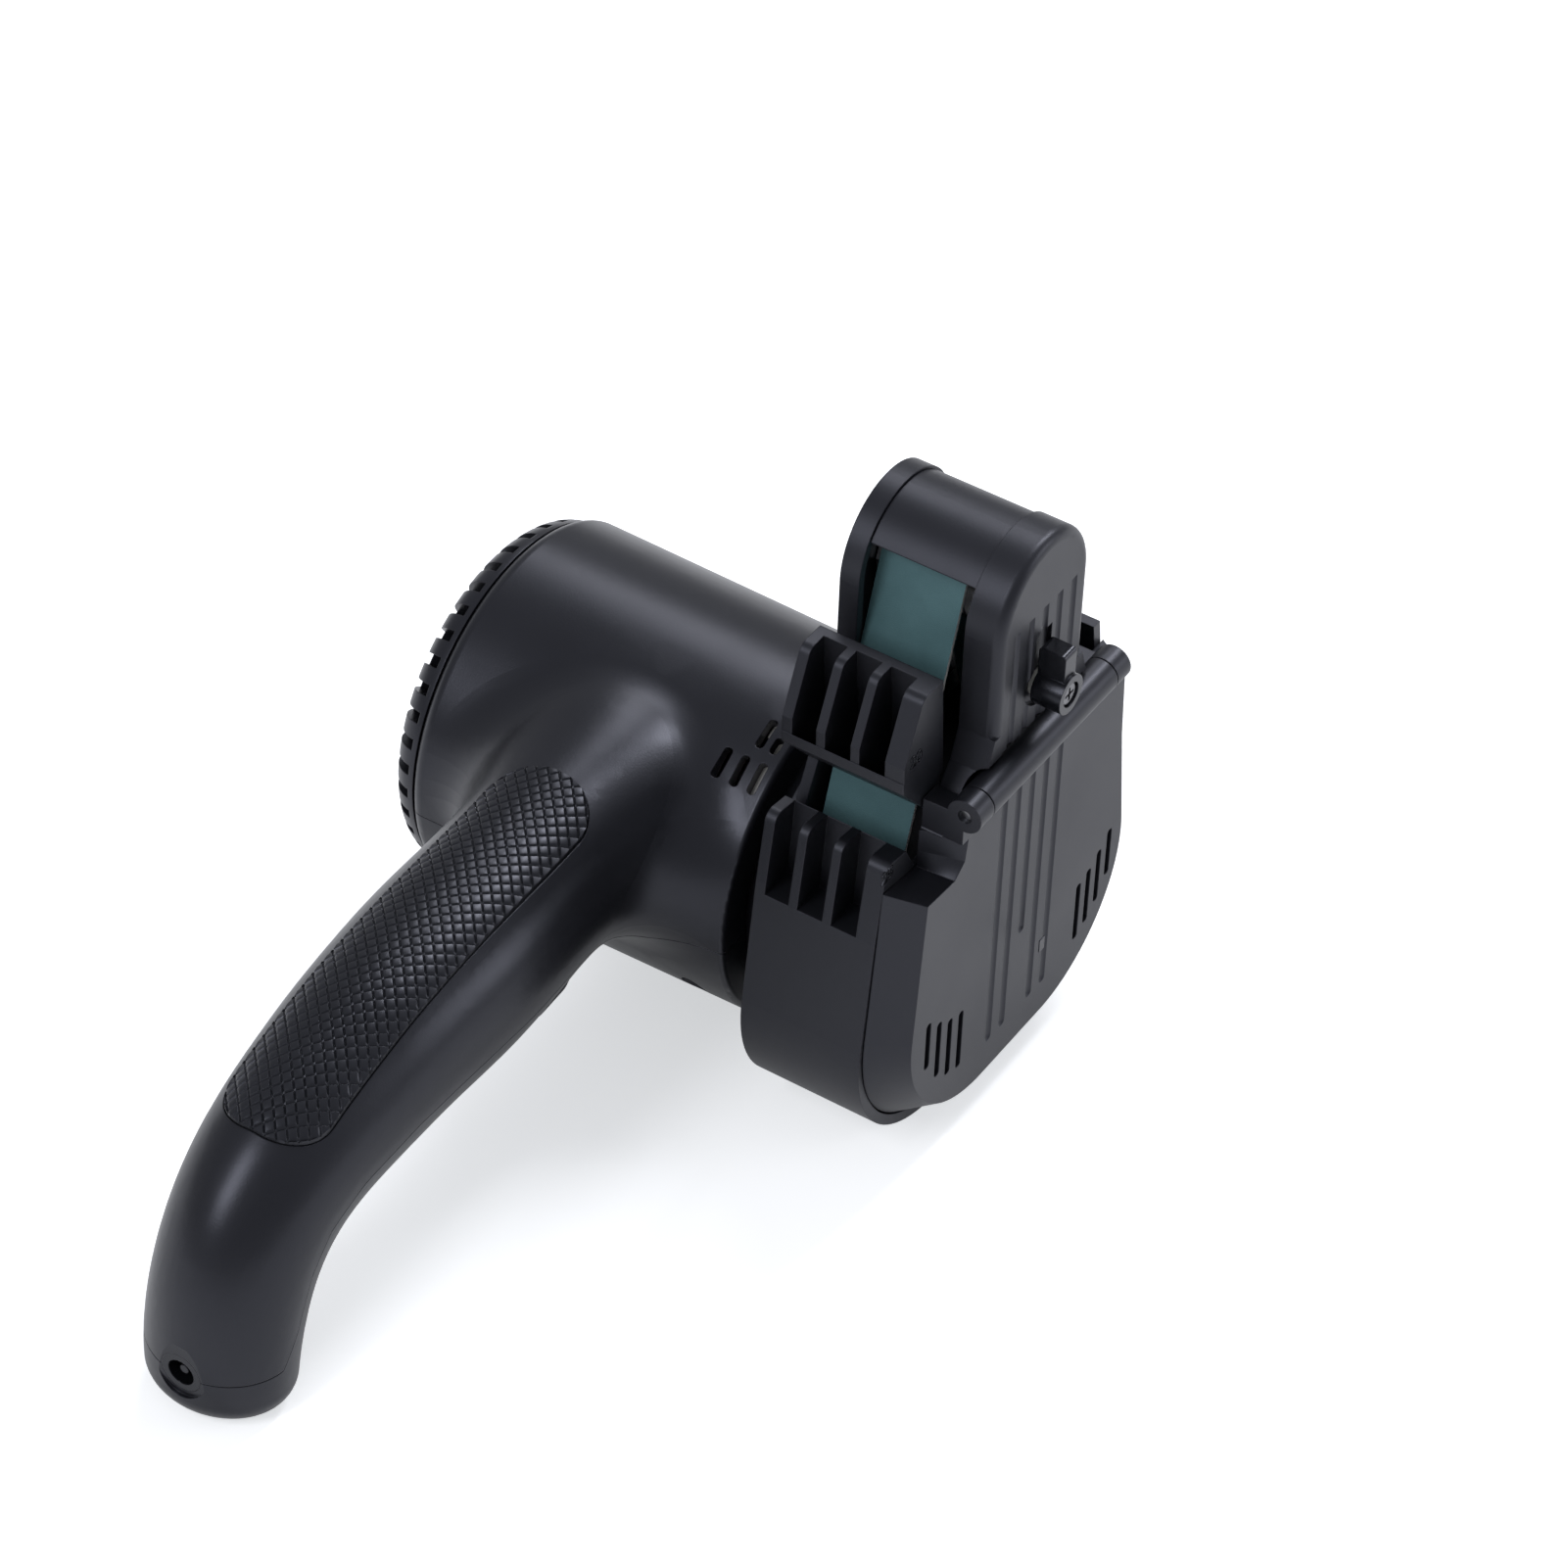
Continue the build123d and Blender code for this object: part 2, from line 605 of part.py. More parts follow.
def motor_end_bell():
    """Rear end of the motor, with the seats of its bearing and brushes."""
    bell = tube_y(CAN_R, SHAFT_R + CUT, BELL_REAR, CAN_REAR + SEAT)
    bell = bell - rod_y(BEARING_R + SEAT, CAN_REAR - CUT, CAN_REAR + SEAT + BEARING_W)
    for side in (-1, 1):
        y0 = BRUSH_Y - BRUSH_W / 2 - 0.9
        box = block(side * 8.0, side * 16.0, y0, CAN_REAR + CUT, -3.6, 3.6)
        bell = bell + box
        half = BRUSH_W / 2 + SEAT
        bell = bell - block(side * 7.0, side * 15.0, BRUSH_Y - half, BRUSH_Y + half, -half, half)
    return bell


def motor_magnets():
    outer = CAN_R - CAN_WALL - SEAT
    ring = tube_y(outer, outer - MAGNET_T, CAN_REAR - 8, CAN_FRONT + 8)
    arcs = []
    for side in (-1, 1):
        arcs.append(ring & block(side * 7.0, side * 30.0, CAN_REAR, CAN_FRONT, -30, 30))
    return Compound(children=[arc.solids()[0] for arc in arcs])


def rotor_core():
    core = tube_y(ROTOR_R, SHAFT_R + SEAT, ROTOR_REAR, ROTOR_FRONT)
    cuts = []
    for k in range(POLES):
        slot = block(SHAFT_R + 4.0, ROTOR_R - 1.6, ROTOR_REAR + CUT, ROTOR_FRONT - CUT, -1.7, 1.7)
        mouth = block(ROTOR_R - 2.0, ROTOR_R + CUT, ROTOR_REAR + CUT, ROTOR_FRONT - CUT, -0.6, 0.6)
        cuts.append(Rot(0, 360 / POLES * k, 0) * (slot + mouth))
    return core - cuts


def rotor_windings():
    """Copper bars in the slots, joined by a ring of end turns at each end."""
    inner = SHAFT_R + 4.0 + SEAT
    rear = tube_y(COIL_R, inner, ROTOR_REAR + COIL_END, ROTOR_REAR + SEAT)
    front = tube_y(COIL_R, inner, ROTOR_FRONT - SEAT, ROTOR_FRONT - COIL_END)
    bars = []
    for k in range(POLES):
        bar = block(inner + 0.4, COIL_R - 0.2, ROTOR_REAR + 0.5, ROTOR_FRONT - 0.5, -1.65, 1.65)
        bars.append(Rot(0, 360 / POLES * k, 0) * bar)
    return union([rear, front] + bars)


def commutator():
    body = tube_y(COMMUTATOR_R, SHAFT_R + SEAT, BRUSH_Y + 2.8, ROTOR_REAR + COIL_END + SLIDE)
    grooves = []
    for k in range(POLES):
        groove = block(COMMUTATOR_R - 0.5, COMMUTATOR_R + CUT, BRUSH_Y + 3.5, ROTOR_REAR, -0.2, 0.2)
        grooves.append(Rot(0, 360 / POLES * k, 0) * groove)
    return body - grooves


def carbon_brushes():
    half = BRUSH_W / 2
    brushes = []
    for side in (-1, 1):
        brushes.append(block(side * (COMMUTATOR_R + GAP), side * 14.0, BRUSH_Y - half, BRUSH_Y + half, -half, half))
    return Compound(children=brushes)


def motor_shaft():
    shaft = rod_y(SHAFT_R, PULLEY_FRONT, SHAFT_REAR)
    return shaft - rod_y(SMALL_SCREW_R, PULLEY_FRONT - CUT, PULLEY_FRONT + 9)


def rear_bearing():
    rear = CAN_REAR + SEAT + BEARING_W
    return tube_y(BEARING_R, SHAFT_R + FIT, rear - SEAT, rear - BEARING_W)


def neck_bearing():
    rear = HOUSING_FRONT - 0.6
    return tube_y(NECK_BEARING_R, SHAFT_R + FIT, rear, rear - NECK_BEARING_W)


def cooling_fan():
    plate_rear = FAN_FRONT + 1.4
    fan = rod_y(FAN_R, plate_rear, FAN_FRONT) + rod_y(6.5, FAN_REAR, FAN_FRONT)
    blade = block(6.0, FAN_R, FAN_REAR, plate_rear - 0.5, -0.6, 0.6)
    blades = []
    for k in range(FAN_BLADES):
        blades.append(Rot(0, 360 / FAN_BLADES * k, 0) * Pos(0, 0, 2.0) * blade)
    fan = union([fan] + blades) & rod_y(FAN_R, FAN_REAR, FAN_FRONT)
    return fan - rod_y(SHAFT_R + SEAT, FAN_REAR + CUT, FAN_FRONT - CUT)


# ================================================================ neck
def neck_collar():
    front_y = HEAD_REAR + SEAT
    rear_y = HOUSING_FRONT - SEAT
    seat_y = HOUSING_FRONT - 0.6 - NECK_BEARING_W - SEAT
    bore = NECK_BEARING_R + SEAT
    ring = turned(((bore, rear_y), (COLLAR_R - 3.0, rear_y), (COLLAR_R, rear_y - 3.0), (COLLAR_R, front_y + 2.5),
                   (COLLAR_R - 2.0, front_y), (bore - 2.0, front_y), (bore - 2.0, seat_y), (bore, seat_y)))
    for x, z in HEAD_SCREWS:
        ring = ring - rod_y(SMALL_SCREW_R, front_y - CUT, front_y + 7, x, z)
    return ring


def head_screws():
    seat_y = HEAD_REAR - BACK_WALL - SEAT
    return Compound(children=[front_screw(x, z, seat_y, 8.0) for x, z in HEAD_SCREWS])


# ================================================================ head casing
def half_side(inset):
    """Right side of the head from the floor up to the guide crown."""
    low = (HEAD_HALF_LOW - inset, FLOOR_Z + inset, HEAD_CORNER_R - inset)
    return [low, (SIDE_MID[0] - inset, SIDE_MID[1]), (SIDE_TOP[0] - inset, SIDE_TOP[1])]


def back_outline():
    """Outline of the rear wall of the head, arch and notches included."""
    right = half_side(0) + [SIDE_CROWN + (1.5,), (GUIDE_CROWN_X, GUIDE_TOP), (GUIDE_LIP_X, GUIDE_TOP), NOTCH,
                            (ARCH_HALF_W, ARCH_ROOT_Z), (ARCH_HALF_W, ARCH_TOP, ARCH_HALF_W - 0.2)]
    left = [(-ARCH_HALF_W, ARCH_TOP, ARCH_HALF_W - 0.2), (-ARCH_HALF_W, ARCH_ROOT_Z), (KNIFE_NOTCH_X, NOTCH[1]),
            (KNIFE_CREST_X, GUIDE_TOP), (BLOCK_CROWN_X, GUIDE_TOP, RIB_ROUND), BLOCK_SHOULDER, SLOT_LIP, SLOT_TOP,
            SLOT_BOTTOM, LOWER_INNER, LOWER_CROWN + (RIB_ROUND,)]
    return right + left + mirrored(half_side(0)[:2])


def tub_walls():
    """Side and floor walls of the head, open in front and at the top."""
    outer = half_side(0) + mirrored(half_side(0))
    inner = half_side(WALL) + [(SIDE_TOP[0], SIDE_TOP[1] + CUT), (-SIDE_TOP[0], SIDE_TOP[1] + CUT)]
    inner = inner + mirrored(half_side(WALL))
    shell = prism(outer, HEAD_REAR, HEAD_SEAM) - prism(inner, HEAD_REAR + CUT, HEAD_SEAM - CUT)
    shell = shell - block(0, 60, HEAD_REAR + CUT, HEAD_SEAM - CUT, TUB_TOP, 60)
    return shell - block(-60, 0, HEAD_REAR + CUT, HEAD_SEAM - CUT, CELL_FLOOR_Z, 60)


def plain_guide():
    """Guide block on the side away from the handle: crown, inner and outer wall."""
    points = [(SIDE_TOP[0] + 0.9, TUB_TOP), SIDE_TOP, SIDE_CROWN + (1.5,), (GUIDE_CROWN_X, GUIDE_TOP),
              (GUIDE_LIP_X, GUIDE_TOP), NOTCH, (NOTCH[0] + 2.0, NOTCH[1]), (GUIDE_LIP_X + 2.0, GUIDE_TOP - WALL),
              (GUIDE_CROWN_X - 0.4, GUIDE_TOP - WALL), (SIDE_CROWN[0] - WALL, SIDE_CROWN[1] - 1.2),
              (SIDE_TOP[0] - WALL, SIDE_TOP[1]), (SIDE_TOP[0] + 0.9 - WALL, TUB_TOP)]
    return prism(points, HEAD_REAR, GUIDE_FRONT)


def comb_ribs(points):
    """The ribs across a guide block; the front one is thicker."""
    ribs = []
    for k in range(RIB_COUNT):
        y = HEAD_REAR - k * RIB_PITCH
        front = HEAD_SEAM if k == RIB_COUNT - 1 else y - RIB_T
        ribs.append(prism(points, y, front))
    return ribs


def knife_block():
    """Upper guide block on the handle side: back wall, underside and ribs."""
    foot = (KNIFE_NOTCH_X, NOTCH[1])
    back = [(KNIFE_CREST_X, GUIDE_TOP), (KNIFE_CREST_X - BLOCK_WALL, GUIDE_TOP), (foot[0] - BLOCK_WALL, foot[1]),
            (SLOT_TOP[0] - 1.6, SLOT_TOP[1] + 2.4), SLOT_TOP, foot]
    under = [SLOT_TOP, SLOT_LIP, (SLOT_LIP[0] - 0.2, SLOT_LIP[1] + 2.8), (SLOT_TOP[0] - 0.8, SLOT_TOP[1] + 3.6),
             (SLOT_TOP[0] + 1.6, SLOT_TOP[1] + 4.0)]
    rib = [(KNIFE_CREST_X - 1.0, GUIDE_TOP), (BLOCK_CROWN_X, GUIDE_TOP, RIB_ROUND), BLOCK_SHOULDER, SLOT_LIP, SLOT_TOP,
           (foot[0] - 1.0, foot[1])]
    return [prism(back, HEAD_REAR, HEAD_SEAM), prism(under, HEAD_REAR, HEAD_SEAM)] + comb_ribs(rib)


def scissor_block():
    """Lower guide block on the handle side."""
    side_x = SIDE_MID[0] + 0.3
    wall = [LOWER_INNER, SLOT_BOTTOM, (CELL_BACK_X, CELL_FLOOR_Z), (CELL_BACK_X - BLOCK_WALL, CELL_FLOOR_Z)]
    shelf = [(CELL_BACK_X, CELL_FLOOR_Z), (-side_x, CELL_FLOOR_Z), (-side_x - 0.2, CELL_FLOOR_Z - BLOCK_WALL),
             (CELL_BACK_X, CELL_FLOOR_Z - BLOCK_WALL)]
    rib = [(CELL_BACK_X, LOWER_INNER[1] - 2.2), LOWER_INNER, LOWER_CROWN + (RIB_ROUND,), (-side_x, CELL_FLOOR_Z),
           (CELL_BACK_X - 1.6, CELL_FLOOR_Z)]
    return [prism(wall, HEAD_REAR, HEAD_SEAM), prism(shelf, HEAD_REAR, HEAD_SEAM)] + comb_ribs(rib)


def arch_strip():
    """Rear edge of the arch, which the arch cover meets."""
    def arch(inset):
        half = ARCH_HALF_W - inset
        return [(half, ARCH_ROOT_Z), (half, ARCH_TOP - inset, half - 0.2), (-half, ARCH_TOP - inset, half - 0.2),
                (-half, ARCH_ROOT_Z)]
    return prism(arch(0), HEAD_REAR, STRIP_FRONT) - prism(arch(2.0), HEAD_REAR + CUT, STRIP_FRONT - CUT)


def belt_room():
    """Space that fixed pieces leave free round the belt."""
    plane = Plane.XZ.offset(-BELT_REAR - BELT_ROOM)
    grown = GAP + BELT_T + BELT_ROOM
    return extrude(plane * belt_outline(DRUM_R + grown, IDLER_R + grown), BELT_W + 2 * BELT_ROOM)


def head_back():
    wall = prism(back_outline(), HEAD_REAR, HEAD_REAR - BACK_WALL)
    shape = union([wall, arch_strip(), tub_walls(), plain_guide()] + knife_block() + scissor_block())
    shape = shape - belt_room()
    shape = shape - flutes(HEAD_REAR + CUT, HEAD_REAR - FLUTE_DEPTH, 41.5, 91.0, FLUTE_PITCH, FLUTE_W)
    shape = shape - rod_y(SHAFT_R + 3.5, HEAD_REAR + CUT, HEAD_REAR - 2 * BACK_WALL)
    shape = shape - rod_y(RELEASE_SHAFT_R + FIT, HEAD_REAR + CUT, HEAD_REAR - 2 * BACK_WALL, RELEASE_X, RELEASE_Z)
    wall_y = HEAD_REAR - BACK_WALL + 0.5
    for z in PIN_Z:
        shape = shape + rod_y(PIN_R, wall_y, PLATE_FRONT - 0.1, 0, z)
        shape = shape - rod_y(SMALL_SCREW_R - 0.25, HEAD_REAR - 1.0, PLATE_FRONT - CUT, 0, z)
    post = block(SPRING_X - 2.6, SPRING_X + 2.6, wall_y, SPRING_Y - 3.0, SPRING_LOW - 3.0, SPRING_LOW)
    shape = shape + post + rod_z(1.2, SPRING_LOW - 0.5, SPRING_LOW + 2.0, SPRING_X, SPRING_Y)
    for x, z in COVER_SCREWS:
        shape = shape + rod_y(3.0, wall_y, COVER_LUG_Y, x, z)
        shape = shape - rod_y(SMALL_SCREW_R, COVER_LUG_Y - CUT, COVER_LUG_Y + 9, x, z)
    for x, z in HEAD_SCREWS:
        shape = shape - rod_y(SMALL_SCREW_R + SLIDE, HEAD_REAR + CUT, HEAD_REAR - 2 * BACK_WALL, x, z)
    return shape


def arrow_sticker():
    return rod_y(STICKER_R, HEAD_REAR + 0.25, HEAD_REAR + SEAT / 2, STICKER[0], STICKER[1])


# ================================================================ arch cover
def arch_solid(inset, y_rear, y_front, z_foot):
    half = ARCH_HALF_W - inset
    points = [(half, z_foot), (half, ARCH_TOP - inset, half - 0.2), (-half, ARCH_TOP - inset, half - 0.2),
              (-half, z_foot)]
    return prism(points, y_rear, y_front)


def arch_front():
    """Hollow front of the arch, with the flutes and the knob's recess."""
    front = arch_solid(0, WINDOW_FRONT, ARCH_FACE, ARCH_FOOT_Z)
    face = front.faces().sort_by(Axis.Y)[0]
    rim = face.outer_wire().edges().sort_by(Axis.Z)[1:]
    front = fillet(rim, ARCH_ROUND)
    front = front - arch_solid(ARCH_WALL, WINDOW_FRONT + CUT, ARCH_FACE + WALL, ARCH_FOOT_Z - CUT)
    front = front - [groove(x, ARCH_FACE, ARCH_FOOT_Z - CUT, GROOVE_TOP) for x in GROOVE_XS]
    front = front - block(-2.9, 2.9, ARCH_FACE - CUT, ARCH_FACE + 1.0, TRACK_Z, WING_TOP + 2.5)
    front = front - rod_y(KNOB_HUB_R + 0.9, ARCH_FACE - CUT, ARCH_FACE + 1.0, 0, TRACK_Z)
    return front - rod_y(TRACK_SHAFT_R + FIT, ARCH_FACE - CUT, ARCH_FACE + 2 * WALL, 0, TRACK_Z)


def bridge():
    """Arc shell over the belt between the rear strip and the arch front."""
    rear = STRIP_FRONT - SLIDE
    front = WINDOW_FRONT - CUT
    shell = arch_solid(BRIDGE_DROP, rear, front, ARCH_FOOT_Z)
    shell = shell - arch_solid(ARCH_WALL, rear + CUT, front - CUT, ARCH_FOOT_Z - CUT)
    return shell - block(-ARCH_TOP, ARCH_TOP, rear + CUT, front - CUT, 0, WINDOW_TOP)


def skirt_side(side):
    """One side of the frame below the arch, inside the head casing, and the leg that carries it."""
    if side < 0:
        points = [(-17.4, SKIRT_LEG_TOP), (-17.4, 40.0, 6.0), (-21.0, 33.4, 6.0), (-29.4, 32.4), (-31.8, 20.5),
                  (-40.2, 20.5), (-42.4, 0.0), (-33.0, 0.0, 3.0), (-30.0, 16.0, 5.0), (-18.0, 27.0, 8.0),
                  (-13.0, 40.0, 6.0), (-13.0, SKIRT_LEG_TOP)]
    else:
        points = [(13.0, SKIRT_LEG_TOP), (13.0, 40.0, 6.0), (18.0, 30.0, 8.0), (31.0, 19.0, 5.0), (33.0, 0.0, 3.0),
                  (42.4, 0.0), (39.6, 25.5), (37.6, 42.0, 3.0), (24.0, SKIRT_LEG_TOP)]
    joint = block(side * 13.0, side * 17.4, SKIRT_REAR, FLARE_LOW_FRONT, SHELF_Z + 0.6, SKIRT_LEG_TOP)
    return prism(points, SKIRT_REAR, SKIRT_FRONT) + joint


def flare(side):
    """Foot of the arch, which widens down to the ears of the hinge."""
    right = [(13.0, FLARE_TOP_Z), (ARCH_HALF_W, FLARE_TOP_Z)] + list(FLARE) + [(13.0, SHELF_Z)]
    points = right if side > 0 else mirrored(right)
    high = prism(points, WINDOW_FRONT, ARCH_FACE) - block(-60, 60, 0, 2 * ARCH_FACE, 0, HINGE_Z)
    return prism(points, WINDOW_FRONT, FLARE_LOW_FRONT) + high


def hinge_ear(side):
    """Knuckle that holds one end of the door's hinge pin."""
    outer = side * HINGE_HALF
    inner = side * (HINGE_HALF - HINGE_EAR_T)
    arm = block(inner, outer, HINGE_Y, WINDOW_FRONT, SHELF_Z + 0.2, HINGE_Z)
    return arm + rod_x(HINGE_R, inner, outer, HINGE_Y, HINGE_Z)


def arch_cover():
    shelf_half = ARCH_HALF_W - 0.8
    shelf = block(-shelf_half, shelf_half, SKIRT_REAR, DOOR_FACE + WALL + 0.5, SHELF_Z, SHELF_Z + SHELF_T)
    cover = union([arch_front(), bridge(), flare(-1), flare(1), skirt_side(-1), skirt_side(1), shelf])
    knuckle_half = HINGE_HALF - HINGE_EAR_T
    cover = cover - rod_x(HINGE_R + 0.8, -knuckle_half, knuckle_half, HINGE_Y, HINGE_Z)
    cover = cover + hinge_ear(-1) + hinge_ear(1)
    cover = cover - rod_x(HINGE_PIN_R + SEAT, -HINGE_HALF - CUT, HINGE_HALF + CUT, HINGE_Y, HINGE_Z)
    for x, z in COVER_SCREWS:
        cover = cover - rod_y(SMALL_SCREW_R + SLIDE, SKIRT_REAR + CUT, SKIRT_FRONT - CUT, x, z)
    return cover


def cover_screws():
    return Compound(children=[front_screw(x, z, SKIRT_FRONT - SEAT, 9.0) for x, z in COVER_SCREWS])


# ================================================================ front door
def door_points(inset, saddle, wall=0.0):
    """Outline of the door, drawn in by inset, and by wall along the saddle."""
    half_low = DOOR_HALF_LOW - inset
    low_z = DOOR_FLOOR + inset
    corner = HEAD_CORNER_R - inset * 0.6
    right_top = (DOOR_TOP_X - inset, DOOR_TOP)
    right_mid = (SIDE_MID[0] - 0.8 - inset, SIDE_MID[1])
    top, side, inner, outer = saddle
    notch = [(top[0] + wall, top[1]), (side[0] + wall, side[1]), (inner[0] + wall, inner[1] - wall),
             (outer[0] + wall, outer[1] - wall)]
    return [(half_low, low_z, corner), right_mid, right_top] + notch + [(-half_low, low_z, corner)]


def door_loft(rear, face, y_rear, y_face):
    """Ruled solid between a rear and a face outline."""
    ends = [Plane.XZ.offset(-y_rear) * outline(rear), Plane.XZ.offset(-y_face) * outline(face)]
    return loft(ends, ruled=True)


def door_cuts():
    """Grooves in the face and vent slots through it."""
    cuts = []
    for x in GROOVE_XS:
        foot = DOOR_GROOVE_FOOT if x else MIDDLE_GROOVE_FOOT
        cuts.append(groove(x, DOOR_FACE, foot, DOOR_GROOVE_TOP))
    for x, low, high in DOOR_VENTS:
        slot = block(x - DOOR_SLOT_W / 2, x + DOOR_SLOT_W / 2, DOOR_FACE + 4 * WALL, DOOR_FACE - CUT, low, high)
        cuts.append(fillet(slot.edges().filter_by(Axis.Y), DOOR_SLOT_W * 0.45))
    return cuts


def front_door():
    body = door_loft(door_points(0, SADDLE_REAR), door_points(DOOR_CHAMFER, SADDLE_FACE), DOOR_REAR, DOOR_FACE)
    hollow = door_loft(door_points(WALL, SADDLE_REAR, WALL), door_points(DOOR_CHAMFER + 1.4, SADDLE_FACE, WALL),
                       DOOR_REAR + SEAT, DOOR_FACE + WALL)
    hollow = hollow & block(-60, 60, DOOR_REAR + CUT, DOOR_FACE, -60, DOOR_TOP - WALL)
    body = body - hollow
    half = HINGE_HALF - HINGE_EAR_T - GAP
    leaf = block(-19.6, half, DOOR_FACE, DOOR_FACE + WALL, DOOR_TOP - CUT, HINGE_Z)
    body = body + leaf + rod_x(HINGE_R, -half, half, HINGE_Y, HINGE_Z)
    body = body - rod_x(HINGE_PIN_R + FIT, -half - CUT, half + CUT, HINGE_Y, HINGE_Z)
    return body - door_cuts()


def hinge_pin():
    return rod_x(HINGE_PIN_R, -HINGE_HALF + 1.3, HINGE_HALF - 1.3, HINGE_Y, HINGE_Z)


# ================================================================ belt drive
def belt_outline(r_low, r_high):
    """Outline of an open belt round the drum and the idler, as one face."""
    lean = asin((DRUM_R - IDLER_R) / IDLER_Z)
    low = (r_low * cos(lean), r_low * sin(lean))
    high = (r_high * cos(lean), IDLER_Z + r_high * sin(lean))
    right = Line(low, high)
    top = ThreePointArc(high, (0, IDLER_Z + r_high), (-high[0], high[1]))
    left = Line((-high[0], high[1]), (-low[0], low[1]))
    bottom = ThreePointArc((-low[0], low[1]), (0, -r_low), low)
    return make_face([right, top, left, bottom])


def abrasive_belt():
    plane = Plane.XZ.offset(-BELT_REAR)
    inner = GAP
    outer = GAP + BELT_T
    loop = extrude(plane * belt_outline(DRUM_R + outer, IDLER_R + outer), BELT_W)
    return loop - extrude(plane * belt_outline(DRUM_R + inner, IDLER_R + inner), BELT_W)


def drive_drum():
    rim_out = DRUM_R - TYRE_T
    mid = (PULLEY_REAR + PULLEY_FRONT) / 2
    half = DRUM_WEB / 2
    drum = turned(((SHAFT_R + SEAT, PULLEY_REAR), (DRUM_HUB_R, PULLEY_REAR), (DRUM_HUB_R, mid + half),
                   (DRUM_RIM_IN, mid + half), (DRUM_RIM_IN, PULLEY_REAR), (rim_out, PULLEY_REAR),
                   (rim_out, PULLEY_FRONT), (DRUM_RIM_IN, PULLEY_FRONT), (DRUM_RIM_IN, mid - half),
                   (DRUM_HUB_R, mid - half), (DRUM_HUB_R, PULLEY_FRONT), (SHAFT_R + SEAT, PULLEY_FRONT)))
    holes = []
    for k in range(6):
        holes.append(Rot(0, 60 * k, 0) * rod_y(4.6, mid + DRUM_WEB, mid - DRUM_WEB, 17.0, 0))
    return drum - holes


def drum_tyre():
    return tube_y(DRUM_R, DRUM_R - TYRE_T + SEAT, PULLEY_REAR, PULLEY_FRONT)


def drum_screw():
    return front_screw(0, 0, PULLEY_FRONT - SEAT, 8.0, 4.4, 1.8)


def idler_pulley():
    return tube_y(IDLER_R, BEARING_R + SEAT, PULLEY_REAR, PULLEY_FRONT, 0, IDLER_Z)


def idler_bearings():
    rings = []
    for rear in (PULLEY_REAR, PULLEY_FRONT + BEARING_W):
        rings.append(tube_y(BEARING_R, AXLE_R + FIT, rear, rear - BEARING_W, 0, IDLER_Z))
    return Compound(children=rings)


# ================================================================ tension and tracking
def tension_carriage():
    """Plate behind the belt that slides on two pins and carries the idler."""
    stem = [(-6.5, 46.0), (6.5, 46.0), (6.5, 80.0), (7.5, IDLER_Z), (5.0, 91.0), (-5.0, 91.0), (-7.5, IDLER_Z),
            (-6.5, 80.0)]
    foot = [(-6.5, 50.0), (-6.5, 45.0), (14.0, 29.5), (27.5, 29.5), (27.5, FOOT_TOP), (16.0, FOOT_TOP), (6.5, 45.5),
            (6.5, 50.0)]
    arm = [(SPRING_X - 2.8, SPRING_HIGH), (-6.0, SPRING_HIGH), (-6.0, SPRING_HIGH + 6),
           (SPRING_X - 2.8, SPRING_HIGH + 1.5)]
    parts = [prism(points, PLATE_REAR, PLATE_FRONT) for points in (stem, foot, arm)]
    parts.append(block(SPRING_X - 2.8, SPRING_X + 2.8, PLATE_FRONT + 0.5, SPRING_Y - 3.0, SPRING_HIGH,
                       SPRING_HIGH + 1.2))
    plate = union(parts) - rod_y(AXLE_R + 0.35, PLATE_REAR + CUT, PLATE_FRONT - CUT, 0, IDLER_Z)
    half = PIN_R + SLIDE
    for z in PIN_Z:
        plate = plate - block(-half, half, PLATE_REAR + CUT, PLATE_FRONT - CUT, z - half, z + RELEASE_DROP + half)
    return plate


def guide_screws():
    screws = []
    for z in PIN_Z:
        body = Pos(0, PLATE_FRONT - 0.1 - SEAT, z) * Rot(90, 0, 0) * screw(3.2, 0.9, SMALL_SCREW_R - 0.25 - SEAT, 2.6)
        screws.append(body)
    return Compound(children=screws)


def tension_spring():
    return coil_spring(2.1, 0.35, SPRING_LOW, SPRING_HIGH, 6, SPRING_X, SPRING_Y)


def link_spring():
    return coil_spring(1.7, 0.3, SHELF_Z + SHELF_T, TRACK_Z - TRACK_CAM_R - GAP - 4.4, 4, 0, (LINK_REAR + LINK_FRONT) / 2)


def idler_axle():
    axle = rod_y(AXLE_R, PLATE_REAR - 0.1, LINK_FRONT - 1.6, 0, IDLER_Z)
    return axle + rod_y(3.0, PLATE_FRONT - 0.1, PULLEY_REAR + GAP, 0, IDLER_Z)


def tracking_link():
    """Plate that hangs the idler's front end from the tracking cam."""
    low = TRACK_Z - TRACK_CAM_R - GAP
    high = TRACK_Z + TRACK_CAM_R + TRACK_THROW + GAP + RELEASE_DROP
    half = TRACK_CAM_R + TRACK_THROW + GAP + 0.1
    frame = [(-LINK_HALF_W, low - 3.2, 2.0), (LINK_HALF_W, low - 3.2, 2.0), (LINK_HALF_W, high + 1.0, 3.0),
             (5.5, 88.5, 3.0), (-5.5, 88.5, 3.0), (-LINK_HALF_W, high + 1.0, 3.0)]
    link = prism(frame, LINK_REAR, LINK_FRONT)
    link = link - prism([(-half, low, 2.0), (half, low, 2.0), (half, high, 2.0), (-half, high, 2.0)],
                        LINK_REAR + CUT, LINK_FRONT - CUT)
    link = link + rod_y(3.2, PULLEY_FRONT - GAP, LINK_REAR - 0.5, 0, IDLER_Z)
    link = link + block(-2.4, 2.4, LINK_REAR + 0.9, LINK_FRONT - 0.9, low - 4.4, low - 3.0)
    return link - rod_y(AXLE_R + SEAT, PULLEY_FRONT + CUT, LINK_FRONT - CUT, 0, IDLER_Z)


